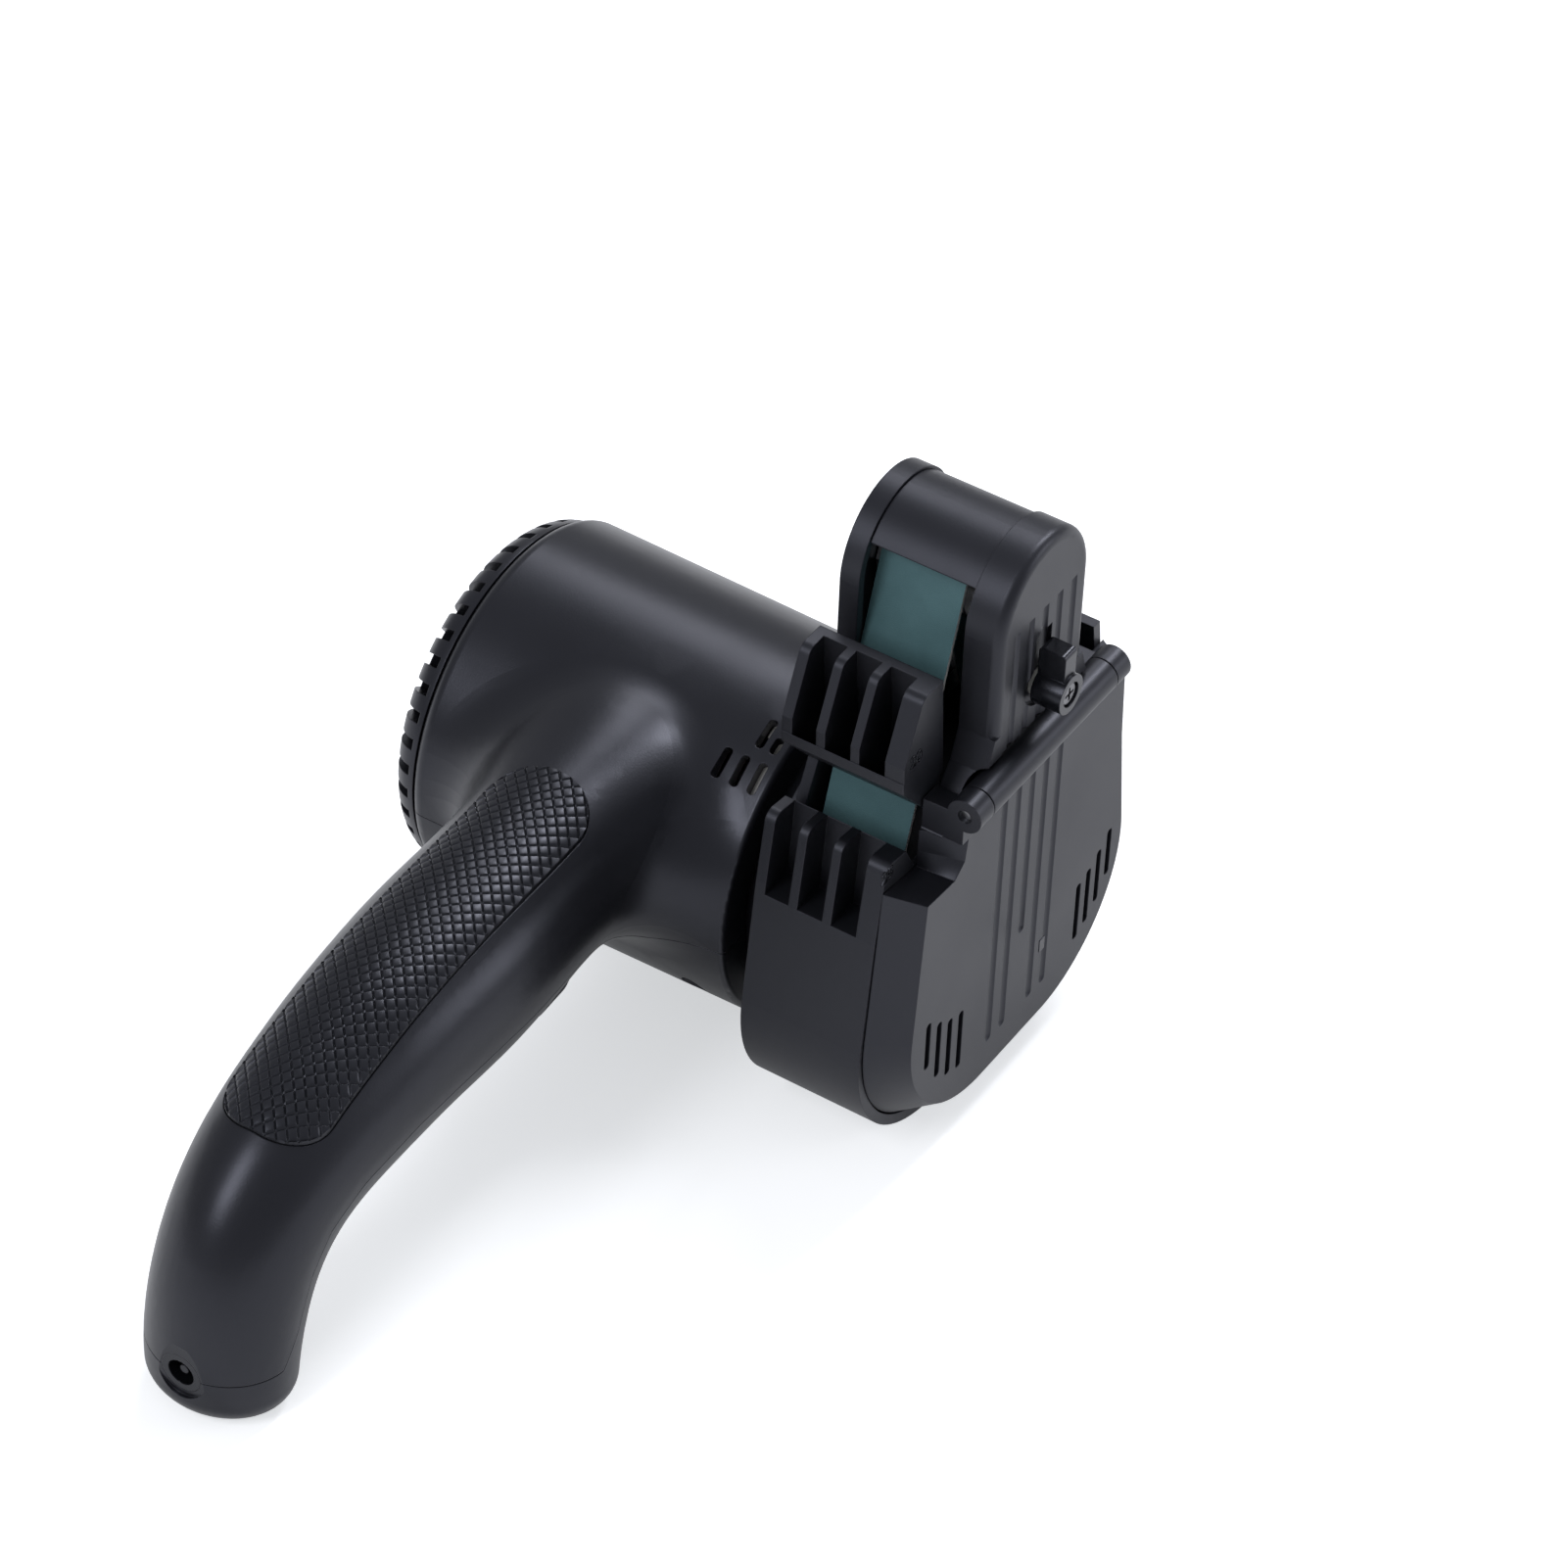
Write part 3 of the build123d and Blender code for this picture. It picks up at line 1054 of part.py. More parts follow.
def idler_clip():
    clip = tube_y(3.6, AXLE_R + SEAT, LINK_FRONT - SEAT, LINK_FRONT - 0.9, 0, IDLER_Z)
    return clip - block(-1.2, 1.2, LINK_FRONT + CUT, LINK_FRONT - 2, IDLER_Z - 5, IDLER_Z - 1.5)


def tracking_cam():
    """Eccentric disc and the shaft that carries the knob."""
    cam = rod_y(TRACK_CAM_R, LINK_REAR, LINK_FRONT - 0.5, TRACK_THROW, TRACK_Z)
    collar = rod_y(TRACK_SHAFT_R + 1.0, LINK_FRONT, ARCH_FACE + WALL + GAP, 0, TRACK_Z)
    shaft = rod_y(TRACK_SHAFT_R, LINK_FRONT, KNOB_REAR - 2.0, 0, TRACK_Z)
    return cam + collar + shaft - rod_y(SMALL_SCREW_R, KNOB_REAR - 3.0, KNOB_REAR + 4.0, 0, TRACK_Z)


def tracking_knob():
    """Wing knob with a recess for its screw."""
    hub = rod_y(KNOB_HUB_R, KNOB_REAR, KNOB_FRONT, 0, TRACK_Z)
    wing = block(-WING_T / 2, WING_T / 2, KNOB_REAR, KNOB_FRONT + 0.6, TRACK_Z, WING_TOP)
    wing = fillet(wing.edges().filter_by(Axis.X).group_by(Axis.Z)[-1], WING_T / 4)
    knob = hub + wing
    knob = knob - rod_y(TRACK_SHAFT_R + SEAT, KNOB_REAR + CUT, KNOB_REAR - 2.0 - SEAT, 0, TRACK_Z)
    knob = knob - rod_y(SMALL_SCREW_R + SLIDE, KNOB_REAR, KNOB_FRONT - CUT, 0, TRACK_Z)
    return knob - rod_y(SCREW_HEAD_R + SLIDE, KNOB_FRONT + 1.8, KNOB_FRONT - CUT, 0, TRACK_Z)


def knob_screw():
    return front_screw(0, TRACK_Z, KNOB_FRONT + 1.8 - SEAT, 7.6, SCREW_HEAD_R, 1.4)


# ================================================================ belt release
def cam_radius(angle):
    """Radius of the snail cam: it grows over the lever's turn, then falls back."""
    rise = (angle + 90.0) / RELEASE_TURN
    fall = 1.0 - (angle + 90.0 - RELEASE_TURN) / 60.0
    return CAM_BASE_R + RELEASE_DROP * max(min(rise, fall, 1.0), 0.0)


def release_cam():
    """Snail cam on the inner end of the release lever's shaft."""
    points = []
    for angle in range(-90, 270, 10):
        r = cam_radius(angle)
        points.append((RELEASE_X + r * cos(radians(angle)), RELEASE_Z + r * sin(radians(angle))))
    cam = prism(points, PLATE_REAR, PLATE_FRONT)
    return cam - rod_y(SMALL_SCREW_R, PLATE_REAR + CUT, PLATE_FRONT - CUT, RELEASE_X, RELEASE_Z)


def release_lever():
    rear = HEAD_REAR + 6.0
    hub = rod_y(3.5, rear, HEAD_REAR + GAP, RELEASE_X, RELEASE_Z)
    shaft = rod_y(RELEASE_SHAFT_R, HEAD_REAR + CUT, PLATE_REAR + SEAT, RELEASE_X, RELEASE_Z)
    arm = [(RELEASE_X, RELEASE_Z - 2.8), (RELEASE_X, RELEASE_Z + 2.8), (12.0, 45.4), (0.0, 46.4, 2.0),
           (-0.4, 40.6, 2.0), (12.0, 40.4)]
    lever = union([hub, shaft, prism(arm, HEAD_REAR + 4.4, HEAD_REAR + GAP)])
    return lever - rod_y(SMALL_SCREW_R + SLIDE, rear + CUT, PLATE_REAR - CUT, RELEASE_X, RELEASE_Z)


def lever_screw():
    rear = HEAD_REAR + 6.0
    length = rear - PLATE_FRONT - 0.1
    return Pos(RELEASE_X, rear + SEAT, RELEASE_Z) * Rot(-90, 0, 0) * screw(2.2, 1.2, SMALL_SCREW_R - SEAT, length)


# ================================================================ trigger
def trigger():
    px, pz = TRIGGER_PIVOT
    points = [(px, pz - 2.4), (-48.4, -12.2, 3.0), (-52.8, -16.4, 3.0), (-62.0, -17.2, 8.0), (-67.6, -15.2, 1.5),
              (-70.6, -7.4), (-70.6, -2.6), (-60.0, 0.8), (px, pz + 2.4)]
    body = Pos(0, HANDLE_Y, 0) * prism(points, TRIGGER_HALF_W, -TRIGGER_HALF_W)
    hub = rod_y(TRIGGER_HUB_R, HANDLE_Y + TRIGGER_HALF_W, HANDLE_Y - TRIGGER_HALF_W, px, pz)
    body = body + hub - trigger_pin_hole(FIT)
    pocket = rod_z(2.9, -3.2, 3, TRIGGER_SPRING_X, HANDLE_Y)
    return body - pocket


def trigger_pin():
    px, pz = TRIGGER_PIVOT
    half = TRIGGER_HALF_W + GAP + 3.6
    return rod_y(TRIGGER_PIN_R, HANDLE_Y + half, HANDLE_Y - half, px, pz)


def trigger_spring():
    return coil_spring(2.1, 0.3, -3.2, SWITCH_Z - SEAT - CUT, 3, TRIGGER_SPRING_X, HANDLE_Y)


def trigger_switch():
    half = TRIGGER_HALF_W + GAP + 3.8
    body = block(SWITCH_X[0], SWITCH_X[1], HANDLE_Y - 6.6, HANDLE_Y + 6.6, SWITCH_Z, SWITCH_Z + 9)
    body = body + block(SWITCH_X[0], SWITCH_X[1], HANDLE_Y - half, HANDLE_Y + half, SWITCH_Z, SWITCH_Z + 1.6)
    return body + rod_z(1.6, SWITCH_Z - 0.6, SWITCH_Z + 1, -58.0, HANDLE_Y)


# ================================================================ power jack
def power_jack():
    rear = JACK_MOUTH_X + JACK_LENGTH
    body = rod_x(JACK_R, JACK_MOUTH_X, rear, HANDLE_Y, JACK_Z)
    flange_x = JACK_MOUTH_X + JACK_FLANGE_IN
    body = body + rod_x(JACK_FLANGE_R, flange_x, flange_x + JACK_FLANGE_T, HANDLE_Y, JACK_Z)
    body = body - rod_x(JACK_BORE_R, JACK_MOUTH_X - CUT, JACK_MOUTH_X + JACK_DEPTH, HANDLE_Y, JACK_Z)
    return body + rod_x(JACK_PIN_R, JACK_MOUTH_X + 1.0, JACK_MOUTH_X + JACK_DEPTH + CUT, HANDLE_Y, JACK_Z)


# ================================================================ main
def main():
    os.makedirs("parts", exist_ok=True)
    upper, lower = housing_halves()
    save("housing_upper", upper)
    save("housing_lower", lower)
    pieces = (housing_screws, grip_pad, rear_vent_ring, rear_cap, motor_mount, motor_screws, motor_can,
              motor_end_bell, motor_magnets, rotor_core, rotor_windings, commutator, carbon_brushes, motor_shaft,
              rear_bearing, neck_bearing, cooling_fan, neck_collar, head_screws, head_back, arrow_sticker,
              arch_cover, cover_screws, front_door, hinge_pin, abrasive_belt, drive_drum, drum_tyre, drum_screw,
              idler_pulley, idler_bearings, idler_axle, idler_clip, tension_carriage, guide_screws,
              tension_spring, link_spring, tracking_link, tracking_cam, tracking_knob, knob_screw, release_cam,
              release_lever, lever_screw, trigger, trigger_pin, trigger_spring, trigger_switch, power_jack)
    for piece in pieces:
        save(piece.__name__, piece())


main()
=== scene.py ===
"""Looks of the electric knife sharpener: finishes, surface detail, light and camera.

All lengths are in metres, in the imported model's frame.  Places are worked out
from the motor axis and from the boxes of the CAD nodes.
"""
import bmesh
import bpy
import json
from math import ceil, cos, hypot, pi, radians, sin
from mathutils import Matrix, Vector
from mathutils.bvhtree import BVHTree


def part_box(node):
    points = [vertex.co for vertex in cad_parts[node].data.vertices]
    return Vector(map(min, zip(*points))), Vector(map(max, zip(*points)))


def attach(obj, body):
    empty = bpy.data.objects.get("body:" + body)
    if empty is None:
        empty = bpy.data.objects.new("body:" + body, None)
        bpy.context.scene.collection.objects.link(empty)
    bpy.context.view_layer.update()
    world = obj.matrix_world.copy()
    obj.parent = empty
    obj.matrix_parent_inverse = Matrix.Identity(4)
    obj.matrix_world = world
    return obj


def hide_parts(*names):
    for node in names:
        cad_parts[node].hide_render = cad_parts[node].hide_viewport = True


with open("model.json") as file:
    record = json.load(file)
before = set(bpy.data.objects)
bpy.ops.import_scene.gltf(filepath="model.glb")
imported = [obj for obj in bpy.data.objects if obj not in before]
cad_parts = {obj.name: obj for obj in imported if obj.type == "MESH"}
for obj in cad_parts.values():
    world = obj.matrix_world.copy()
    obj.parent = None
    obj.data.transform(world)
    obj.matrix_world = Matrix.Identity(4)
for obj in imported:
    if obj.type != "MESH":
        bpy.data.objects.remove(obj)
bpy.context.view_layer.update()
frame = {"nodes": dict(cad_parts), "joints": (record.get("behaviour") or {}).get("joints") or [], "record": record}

MM = 0.001
# the CAD pieces are drawn about a datum point on the motor axis; the joint's place lies in front of it
SPIN_FORWARD = 20.0
SPIN = [joint for joint in frame["joints"] if joint["name"] == "motor_spin"][0]
AXIS = Vector(SPIN["pos_m"]) + Vector((0.0, SPIN_FORWARD, 0.0)) * MM

# camera, solved from the photograph's perspective
CAMERA_AZIMUTH = radians(-58.36)
CAMERA_ELEVATION = radians(42.03)
CAMERA_ROLL = radians(2.35)
CAMERA_DISTANCE = 1.21093
CAMERA_TARGET = Vector((15.38, -24.54, -7.58)) * MM
LENS_MM = 134.38
SENSOR_MM = 36.0

# light levels: plain for diffuse rays, brighter where only the camera or a reflection sees them
WORLD_DIFFUSE = 0.34
WORLD_GLOSSY = 0.40
WORLD_SEEN = 1.2
WORLD_COLOUR = (0.93, 0.945, 1.0, 1.0)
FLOOR_GLOSSY = 0.22
FLOOR_SEEN = 0.60
FLOOR_REACH = 6.0
LAMP_TINT = (0.95, 0.96, 1.0)
LAMP_AIM = Vector((-0.04, -0.02, 0.02))
# name, place from the aim, width and height, and power of each soft lamp
LAMPS = (
    ("Key", (1.0, -0.15, 1.2), (0.3, 0.8), 11.0),
    ("Second", (0.9, 0.5, 1.2), (0.3, 0.8), 3.5),
    ("Left", (-1.1, 0.3, 1.0), (0.4, 0.9), 7.0),
    ("Front", (0.9, -1.3, 0.5), (0.8, 0.6), 4.5),
)

# colours matched with the photograph, as linear values
BLACK = (0.0090, 0.0094, 0.0118)
CASING_BLACK = (0.0098, 0.0103, 0.0130)
GLEAM = (0.84, 0.86, 1.0)
BELT_DARK = (0.062, 0.142, 0.156)
BELT_LIGHT = (0.112, 0.228, 0.246)
BELT_CLOTH = (0.86, 0.86, 0.83)

# surface texture of the finishes; grain and marks are in features per metre
MOULD_GRAIN = 2600.0
METAL_MARKS = 900.0
METAL_MARK_DEPTH = 0.01 * MM
METAL_EDGE = 0.15 * MM
BELT_SIDE_LEAN = 0.6    # the belt's cloth shows where the normal leans further sideways

# smooth shading limit between facets
SHARP_ANGLE = radians(28)

# diamond pattern of the grip pad
PAD_PITCH = 2.1 * MM
PAD_ANGLE = radians(42)
PAD_GROOVE = 0.55 * MM
PAD_DEPTH = 0.40 * MM
PAD_EDGE_DROP = 0.06 * MM
PAD_SIDE = 1.2 * MM
PAD_INSET = 1.5 * MM       # corner radius is this much less than the half width
PAD_SHOULDER = 0.3 * MM    # from a groove's edge to the flat top of a diamond
PAD_MARGIN = 1.5 * PAD_PITCH    # lattice points are kept this far outside the outline
PAD_LOOK_IN = 0.2 * MM     # heights are looked up this far inside the edge
PAD_MERGE = 0.04 * MM      # points nearer than this become one

# marks on the head, about the motor axis
UPPER_NUMBER = Vector((-31.2, 0.0, 63.2)) * MM
LOWER_NUMBER = Vector((-39.4, 0.0, 39.2)) * MM
NUMBER_SIZE = 4.2 * MM
NUMBER_RELIEF = 0.14 * MM
DOOR_MARK = Vector((0.0, 0.0, -2.2)) * MM
DOOR_MARK_SIZE = (2.0 * MM, 3.2 * MM)
DOOR_MARK_T = 0.25 * MM
DOOR_MARK_ROUND = 0.1 * MM

# arrow on the sticker
ARROW_R = 2.5 * MM
ARROW_W = 0.8 * MM
ARROW_T = 0.02 * MM        # thin enough for the turned lever to pass over it
ARROW_START = -150         # degrees
ARROW_SWEEP = 220
ARROW_STEPS = 20
ARROW_HEAD_HALF = 1.3      # half width and length of the head, in widths of the line
ARROW_HEAD_LENGTH = 2.4


# ---------------------------------------------------------------- node helpers
def new_material(name):
    """Empty material with its node tree and main shader."""
    made = bpy.data.materials.new(name)
    made.use_nodes = True
    shader = made.node_tree.nodes["Principled BSDF"]
    return made, made.node_tree, shader


def add(tree, kind, inputs=(), **settings):
    """New node with its settings and its input values."""
    made = tree.nodes.new(kind)
    for name, value in settings.items():
        setattr(made, name, value)
    for name, value in dict(inputs).items():
        made.inputs[name].default_value = value
    return made


def noise(tree, scale, detail=3.0, stretch=None):
    """Noise over object coordinates; scale is in features per metre."""
    coords = add(tree, "ShaderNodeTexCoord")
    texture = add(tree, "ShaderNodeTexNoise", {"Scale": scale, "Detail": detail})
    if stretch is None:
        tree.links.new(coords.outputs["Object"], texture.inputs["Vector"])
        return texture
    mapping = add(tree, "ShaderNodeMapping", {"Scale": stretch})
    tree.links.new(coords.outputs["Object"], mapping.inputs["Vector"])
    tree.links.new(mapping.outputs["Vector"], texture.inputs["Vector"])
    return texture


def spread(tree, source, low, high, target):
    """Drives an input with a 0..1 value mapped between low and high."""
    mapped = add(tree, "ShaderNodeMapRange", {"To Min": low, "To Max": high})
    tree.links.new(source, mapped.inputs["Value"])
    tree.links.new(mapped.outputs["Result"], target)


def blend_colour(tree, factor, low, high, target):
    """Colour between two values, chosen by a 0..1 factor."""
    mix = add(tree, "ShaderNodeMix", data_type="RGBA")
    mix.inputs["A"].default_value = low + (1.0,)
    mix.inputs["B"].default_value = high + (1.0,)
    tree.links.new(factor, mix.inputs["Factor"])
    tree.links.new(mix.outputs["Result"], target)
    return mix


def relief(tree, shader, height, distance, strength=1.0, edge=0.0):
    """Bump from a height, over a rounded-edge normal where edge is given."""
    bump = add(tree, "ShaderNodeBump", {"Distance": distance, "Strength": strength})
    tree.links.new(height, bump.inputs["Height"])
    if edge:
        bevel = add(tree, "ShaderNodeBevel", {"Radius": edge}, samples=4)
        tree.links.new(bevel.outputs["Normal"], bump.inputs["Normal"])
    tree.links.new(bump.outputs["Normal"], shader.inputs["Normal"])


# ---------------------------------------------------------------- materials
def moulded(name, colour, roughness, depth=0.012, edge=0.3):
    """Moulded surface: fine spark texture and softened edges, in millimetres, and cloudy gloss."""
    made, tree, shader = new_material(name)
    shader.inputs["Specular Tint"].default_value = GLEAM + (1.0,)
    shade = tuple(channel * 0.82 for channel in colour)
    cloud = noise(tree, 45.0, 4.0)
    blend_colour(tree, cloud.outputs["Fac"], shade, colour, shader.inputs["Base Color"])
    spread(tree, cloud.outputs["Fac"], roughness - 0.05, roughness + 0.05, shader.inputs["Roughness"])
    texture = noise(tree, MOULD_GRAIN, 2.0)
    relief(tree, shader, texture.outputs["Fac"], depth * MM, 1.0, edge * MM)
    return made


def metal(name, colour, roughness, stretch):
    """Metal with fine marks, drawn out where the stretch differs between directions."""
    made, tree, shader = new_material(name)
    shader.inputs["Metallic"].default_value = 1.0
    marks = noise(tree, METAL_MARKS, 3.0, stretch)
    worn = tuple(min(channel * 1.12, 1.0) for channel in colour)
    blend_colour(tree, marks.outputs["Fac"], colour, worn, shader.inputs["Base Color"])
    spread(tree, marks.outputs["Fac"], roughness - 0.08, roughness + 0.12, shader.inputs["Roughness"])
    relief(tree, shader, marks.outputs["Fac"], METAL_MARK_DEPTH, 0.6, METAL_EDGE)
    return made


def belt_finish(name):
    """Green abrasive grain outside, pale cloth at the edges."""
    made, tree, shader = new_material(name)
    grain = noise(tree, 5200.0, 2.0)
    cloud = noise(tree, 120.0, 5.0)
    green = blend_colour(tree, cloud.outputs["Fac"], BELT_DARK, BELT_LIGHT, shader.inputs["Base Color"])
    geometry = add(tree, "ShaderNodeNewGeometry")
    split = add(tree, "ShaderNodeSeparateXYZ")
    tree.links.new(geometry.outputs["True Normal"], split.inputs["Vector"])
    side = add(tree, "ShaderNodeMath", operation="ABSOLUTE")
    tree.links.new(split.outputs["Y"], side.inputs[0])
    edge = add(tree, "ShaderNodeMath", {1: BELT_SIDE_LEAN}, operation="GREATER_THAN")
    tree.links.new(side.outputs[0], edge.inputs[0])
    cloth = add(tree, "ShaderNodeMix", data_type="RGBA")
    cloth.inputs["B"].default_value = BELT_CLOTH + (1.0,)
    tree.links.new(edge.outputs[0], cloth.inputs["Factor"])
    tree.links.new(green.outputs["Result"], cloth.inputs["A"])
    tree.links.new(cloth.outputs["Result"], shader.inputs["Base Color"])
    spread(tree, grain.outputs["Fac"], 0.55, 0.85, shader.inputs["Roughness"])
    relief(tree, shader, grain.outputs["Fac"], 0.08 * MM, 0.9)
    return made


def finishes():
    """One material for each slot of the record."""
    return {
        "black_shell": moulded("Satin black shell", BLACK, 0.31),
        "black_casing": moulded("Satin black casing", CASING_BLACK, 0.40),
        "gloss_black": moulded("Glossy black", (0.006, 0.0065, 0.008), 0.24, depth=0.004),
        "soft_grip": moulded("Soft grip", (0.0080, 0.0085, 0.0105), 0.33, depth=0.006, edge=0.06),
        "abrasive": belt_finish("Abrasive belt"),
        "tyre_rubber": moulded("Drum tyre", (0.014, 0.014, 0.014), 0.7, depth=0.03),
        "steel": metal("Turned steel", (0.52, 0.53, 0.54), 0.3, (1.0, 12.0, 1.0)),
        "zinc_screw": metal("Zinc plated", (0.62, 0.63, 0.63), 0.28, (1.0, 1.0, 1.0)),
        "spring_steel": metal("Drawn wire", (0.36, 0.37, 0.38), 0.35, (1.0, 1.0, 1.0)),
        "lamination": metal("Stacked sheet", (0.22, 0.23, 0.24), 0.45, (1.0, 30.0, 1.0)),
        "magnet": moulded("Ferrite", (0.035, 0.035, 0.038), 0.6, depth=0.03),
        "copper": metal("Enamelled copper", (0.55, 0.21, 0.08), 0.32, (1.0, 6.0, 1.0)),
        "carbon": moulded("Pressed carbon", (0.02, 0.02, 0.021), 0.5, depth=0.03),
        "white_plastic": moulded("Natural nylon", (0.60, 0.59, 0.55), 0.4, depth=0.01),
        "sticker_white": moulded("Printed film", (0.86, 0.86, 0.84), 0.3, depth=0.002, edge=0.05),
    }


def dress_nodes(materials):
    """Gives every CAD node its slot's material and smooth shading."""
    slots = {part["node"]: part["material_slot"] for part in frame["record"]["subparts"]}
    for name, thing in frame["nodes"].items():
        thing.data.materials.clear()
        thing.data.materials.append(materials[slots[name]])
        thing.data.polygons.foreach_set("use_smooth", [True] * len(thing.data.polygons))
        thing.data.set_sharp_from_angle(angle=SHARP_ANGLE)
    # the knob's screw is zinc like the others; its metal is painted darker here, a painted dark reflection in
    # place of how its bright head mirrors the surroundings
    painted_dark_screw = metal("Knob screw painted dark", (0.16, 0.16, 0.17), 0.26, (1.0, 1.0, 1.0))
    frame["nodes"]["knob_screw"].data.materials[0] = painted_dark_screw


def new_piece(name, mesh, material, body):
    """Object for a mesh, with its finish and the body that it rides on."""
    piece = bpy.data.objects.new(name, mesh)
    bpy.context.scene.collection.objects.link(piece)
    mesh.materials.clear()
    mesh.materials.append(material)
    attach(piece, body)
    return piece


def mesh_data(work, name):
    """Mesh data from a working mesh, which is freed."""
    made = bpy.data.meshes.new(name)
    work.to_mesh(made)
    work.free()
    return made


def vertices_of(geometry):
    """Vertices among the parts that an extrusion gives back."""
    return [item for item in geometry if isinstance(item, bmesh.types.BMVert)]


# ---------------------------------------------------------------- grip pad
class PadOutline:
    """Rounded rectangle of the grip pad, seen from above."""

    def __init__(self):
        low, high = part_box("grip_pad")
        self.middle = ((low[0] + high[0]) / 2, (low[1] + high[1]) / 2)
        self.top = high[2]
        half_width = (high[1] - low[1]) / 2
        self.radius = half_width - PAD_INSET
        self.straight = (high[0] - low[0]) / 2 - self.radius
        self.half_flat = half_width - self.radius

    def overshoot(self, x, y):
        """Distance outside the outline (negative inside) and the way back in."""
        dx, dy = x - self.middle[0], y - self.middle[1]
        over_x, over_y = abs(dx) - self.straight, abs(dy) - self.half_flat
        if over_x > 0 and over_y > 0:
            reach = hypot(over_x, over_y)
            distance = reach - self.radius
            way = (over_x / reach, over_y / reach)
        elif over_x > over_y:
            distance, way = over_x - self.radius, (1.0, 0.0)
        else:
            distance, way = over_y - self.radius, (0.0, 1.0)
        return distance, (-way[0] * (1 if dx > 0 else -1), -way[1] * (1 if dy > 0 else -1))


def pattern_lines(reach):
    """Places across one family of grooves, each with its depth there."""
    lines = []
    for k in range(-ceil(reach / PAD_PITCH), ceil(reach / PAD_PITCH) + 1):
        middle = k * PAD_PITCH
        lines.append((middle - PAD_GROOVE / 2, PAD_EDGE_DROP))
        lines.append((middle, PAD_DEPTH))
        lines.append((middle + PAD_GROOVE / 2, PAD_EDGE_DROP))
        lines.append((middle + PAD_GROOVE / 2 + PAD_SHOULDER, 0.0))
        lines.append((middle + PAD_PITCH - PAD_GROOVE / 2 - PAD_SHOULDER, 0.0))
    return lines


def pad_height(tree, outline, x, y):
    """Height of the CAD pad's upper face, looked up a little inside its edge."""
    distance, inward = outline.overshoot(x, y)
    step = max(distance + PAD_LOOK_IN, 0.0)
    origin = Vector((x + inward[0] * step, y + inward[1] * step, outline.top + MM))
    hit = tree.ray_cast(origin, Vector((0.0, 0.0, -1.0)))[0]
    return hit.z if hit else outline.top


def grip_pad(materials):
    """Grip pad cut by two crossing families of grooves into raised diamonds."""
    source = frame["nodes"]["grip_pad"].data
    tree = BVHTree.FromPolygons([v.co for v in source.vertices], [p.vertices for p in source.polygons])
    outline = PadOutline()
    lines = pattern_lines(outline.straight + outline.radius)
    mesh = bmesh.new()
    points = {}
    for i, (a, drop_a) in enumerate(lines):
        for j, (b, drop_b) in enumerate(lines):
            x = outline.middle[0] + (b - a) / (2 * sin(PAD_ANGLE))
            y = outline.middle[1] + (a + b) / (2 * cos(PAD_ANGLE))
            distance, inward = outline.overshoot(x, y)
            if distance <= PAD_MARGIN:
                points[i, j] = (x, y, distance, inward, max(drop_a, drop_b))
    placed = {}

    def corner(key):
        """Vertex of a lattice point, drawn back to the outline where it lies outside."""
        if key not in placed:
            x, y, distance, inward, drop = points[key]
            back = max(distance, 0.0)
            x, y = x + inward[0] * back, y + inward[1] * back
            placed[key] = mesh.verts.new((x, y, pad_height(tree, outline, x, y) - drop))
        return placed[key]

    for i, j in points:
        keys = [(i, j), (i + 1, j), (i + 1, j + 1), (i, j + 1)]
        if all(key in points for key in keys) and any(points[key][2] < 0 for key in keys):
            mesh.faces.new([corner(key) for key in keys])
    bmesh.ops.remove_doubles(mesh, verts=mesh.verts, dist=PAD_MERGE)
    bmesh.ops.recalc_face_normals(mesh, faces=mesh.faces)
    rim = [edge for edge in mesh.edges if edge.is_boundary]
    walls = bmesh.ops.extrude_edge_only(mesh, edges=rim)["geom"]
    for vertex in vertices_of(walls):
        vertex.co.z -= PAD_SIDE
    bmesh.ops.recalc_face_normals(mesh, faces=mesh.faces)
    made = mesh_data(mesh, "grip_pattern")
    made.polygons.foreach_set("use_smooth", [True] * len(made.polygons))
    made.set_sharp_from_angle(angle=SHARP_ANGLE)
    piece = new_piece("grip_pattern", made, materials["soft_grip"], "housing")
    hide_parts("grip_pad")


# ---------------------------------------------------------------- small marks
def number(text, place, materials):
    """Raised digits on a front face."""
    curve = bpy.data.curves.new("digits", "FONT")
    curve.body = text
    curve.size = NUMBER_SIZE
    curve.extrude = NUMBER_RELIEF
    curve.bevel_depth = NUMBER_RELIEF / 2
    curve.align_x = "CENTER"
    curve.align_y = "CENTER"
    carrier = bpy.data.objects.new("digits", curve)
    mesh = bpy.data.meshes.new_from_object(carrier)
    mesh.transform(Matrix.Translation(place) @ Matrix.Rotation(pi / 2, 4, "X"))
    bpy.data.objects.remove(carrier)
    new_piece("number_" + text, mesh, materials["gloss_black"], "housing")


def plate(name, size, place, thickness, rounding, materials, body):
    """Small upright plate with rounded corners and edges, facing forward."""
    mesh = bmesh.new()
    width, height = size
    corners = ((-1, -1), (1, -1), (1, 1), (-1, 1))
    face = mesh.faces.new([mesh.verts.new((sx * width / 2, 0.0, sz * height / 2)) for sx, sz in corners])
    grown = bmesh.ops.extrude_face_region(mesh, geom=[face])["geom"]
    for vertex in vertices_of(grown):
        vertex.co.y -= thickness
    bmesh.ops.bevel(mesh, geom=mesh.edges[:], offset=rounding, segments=2, profile=0.5, affect="EDGES")
    bmesh.ops.recalc_face_normals(mesh, faces=mesh.faces)
    bmesh.ops.translate(mesh, verts=mesh.verts, vec=place)
    new_piece(name, mesh_data(mesh, name), materials["gloss_black"], body)


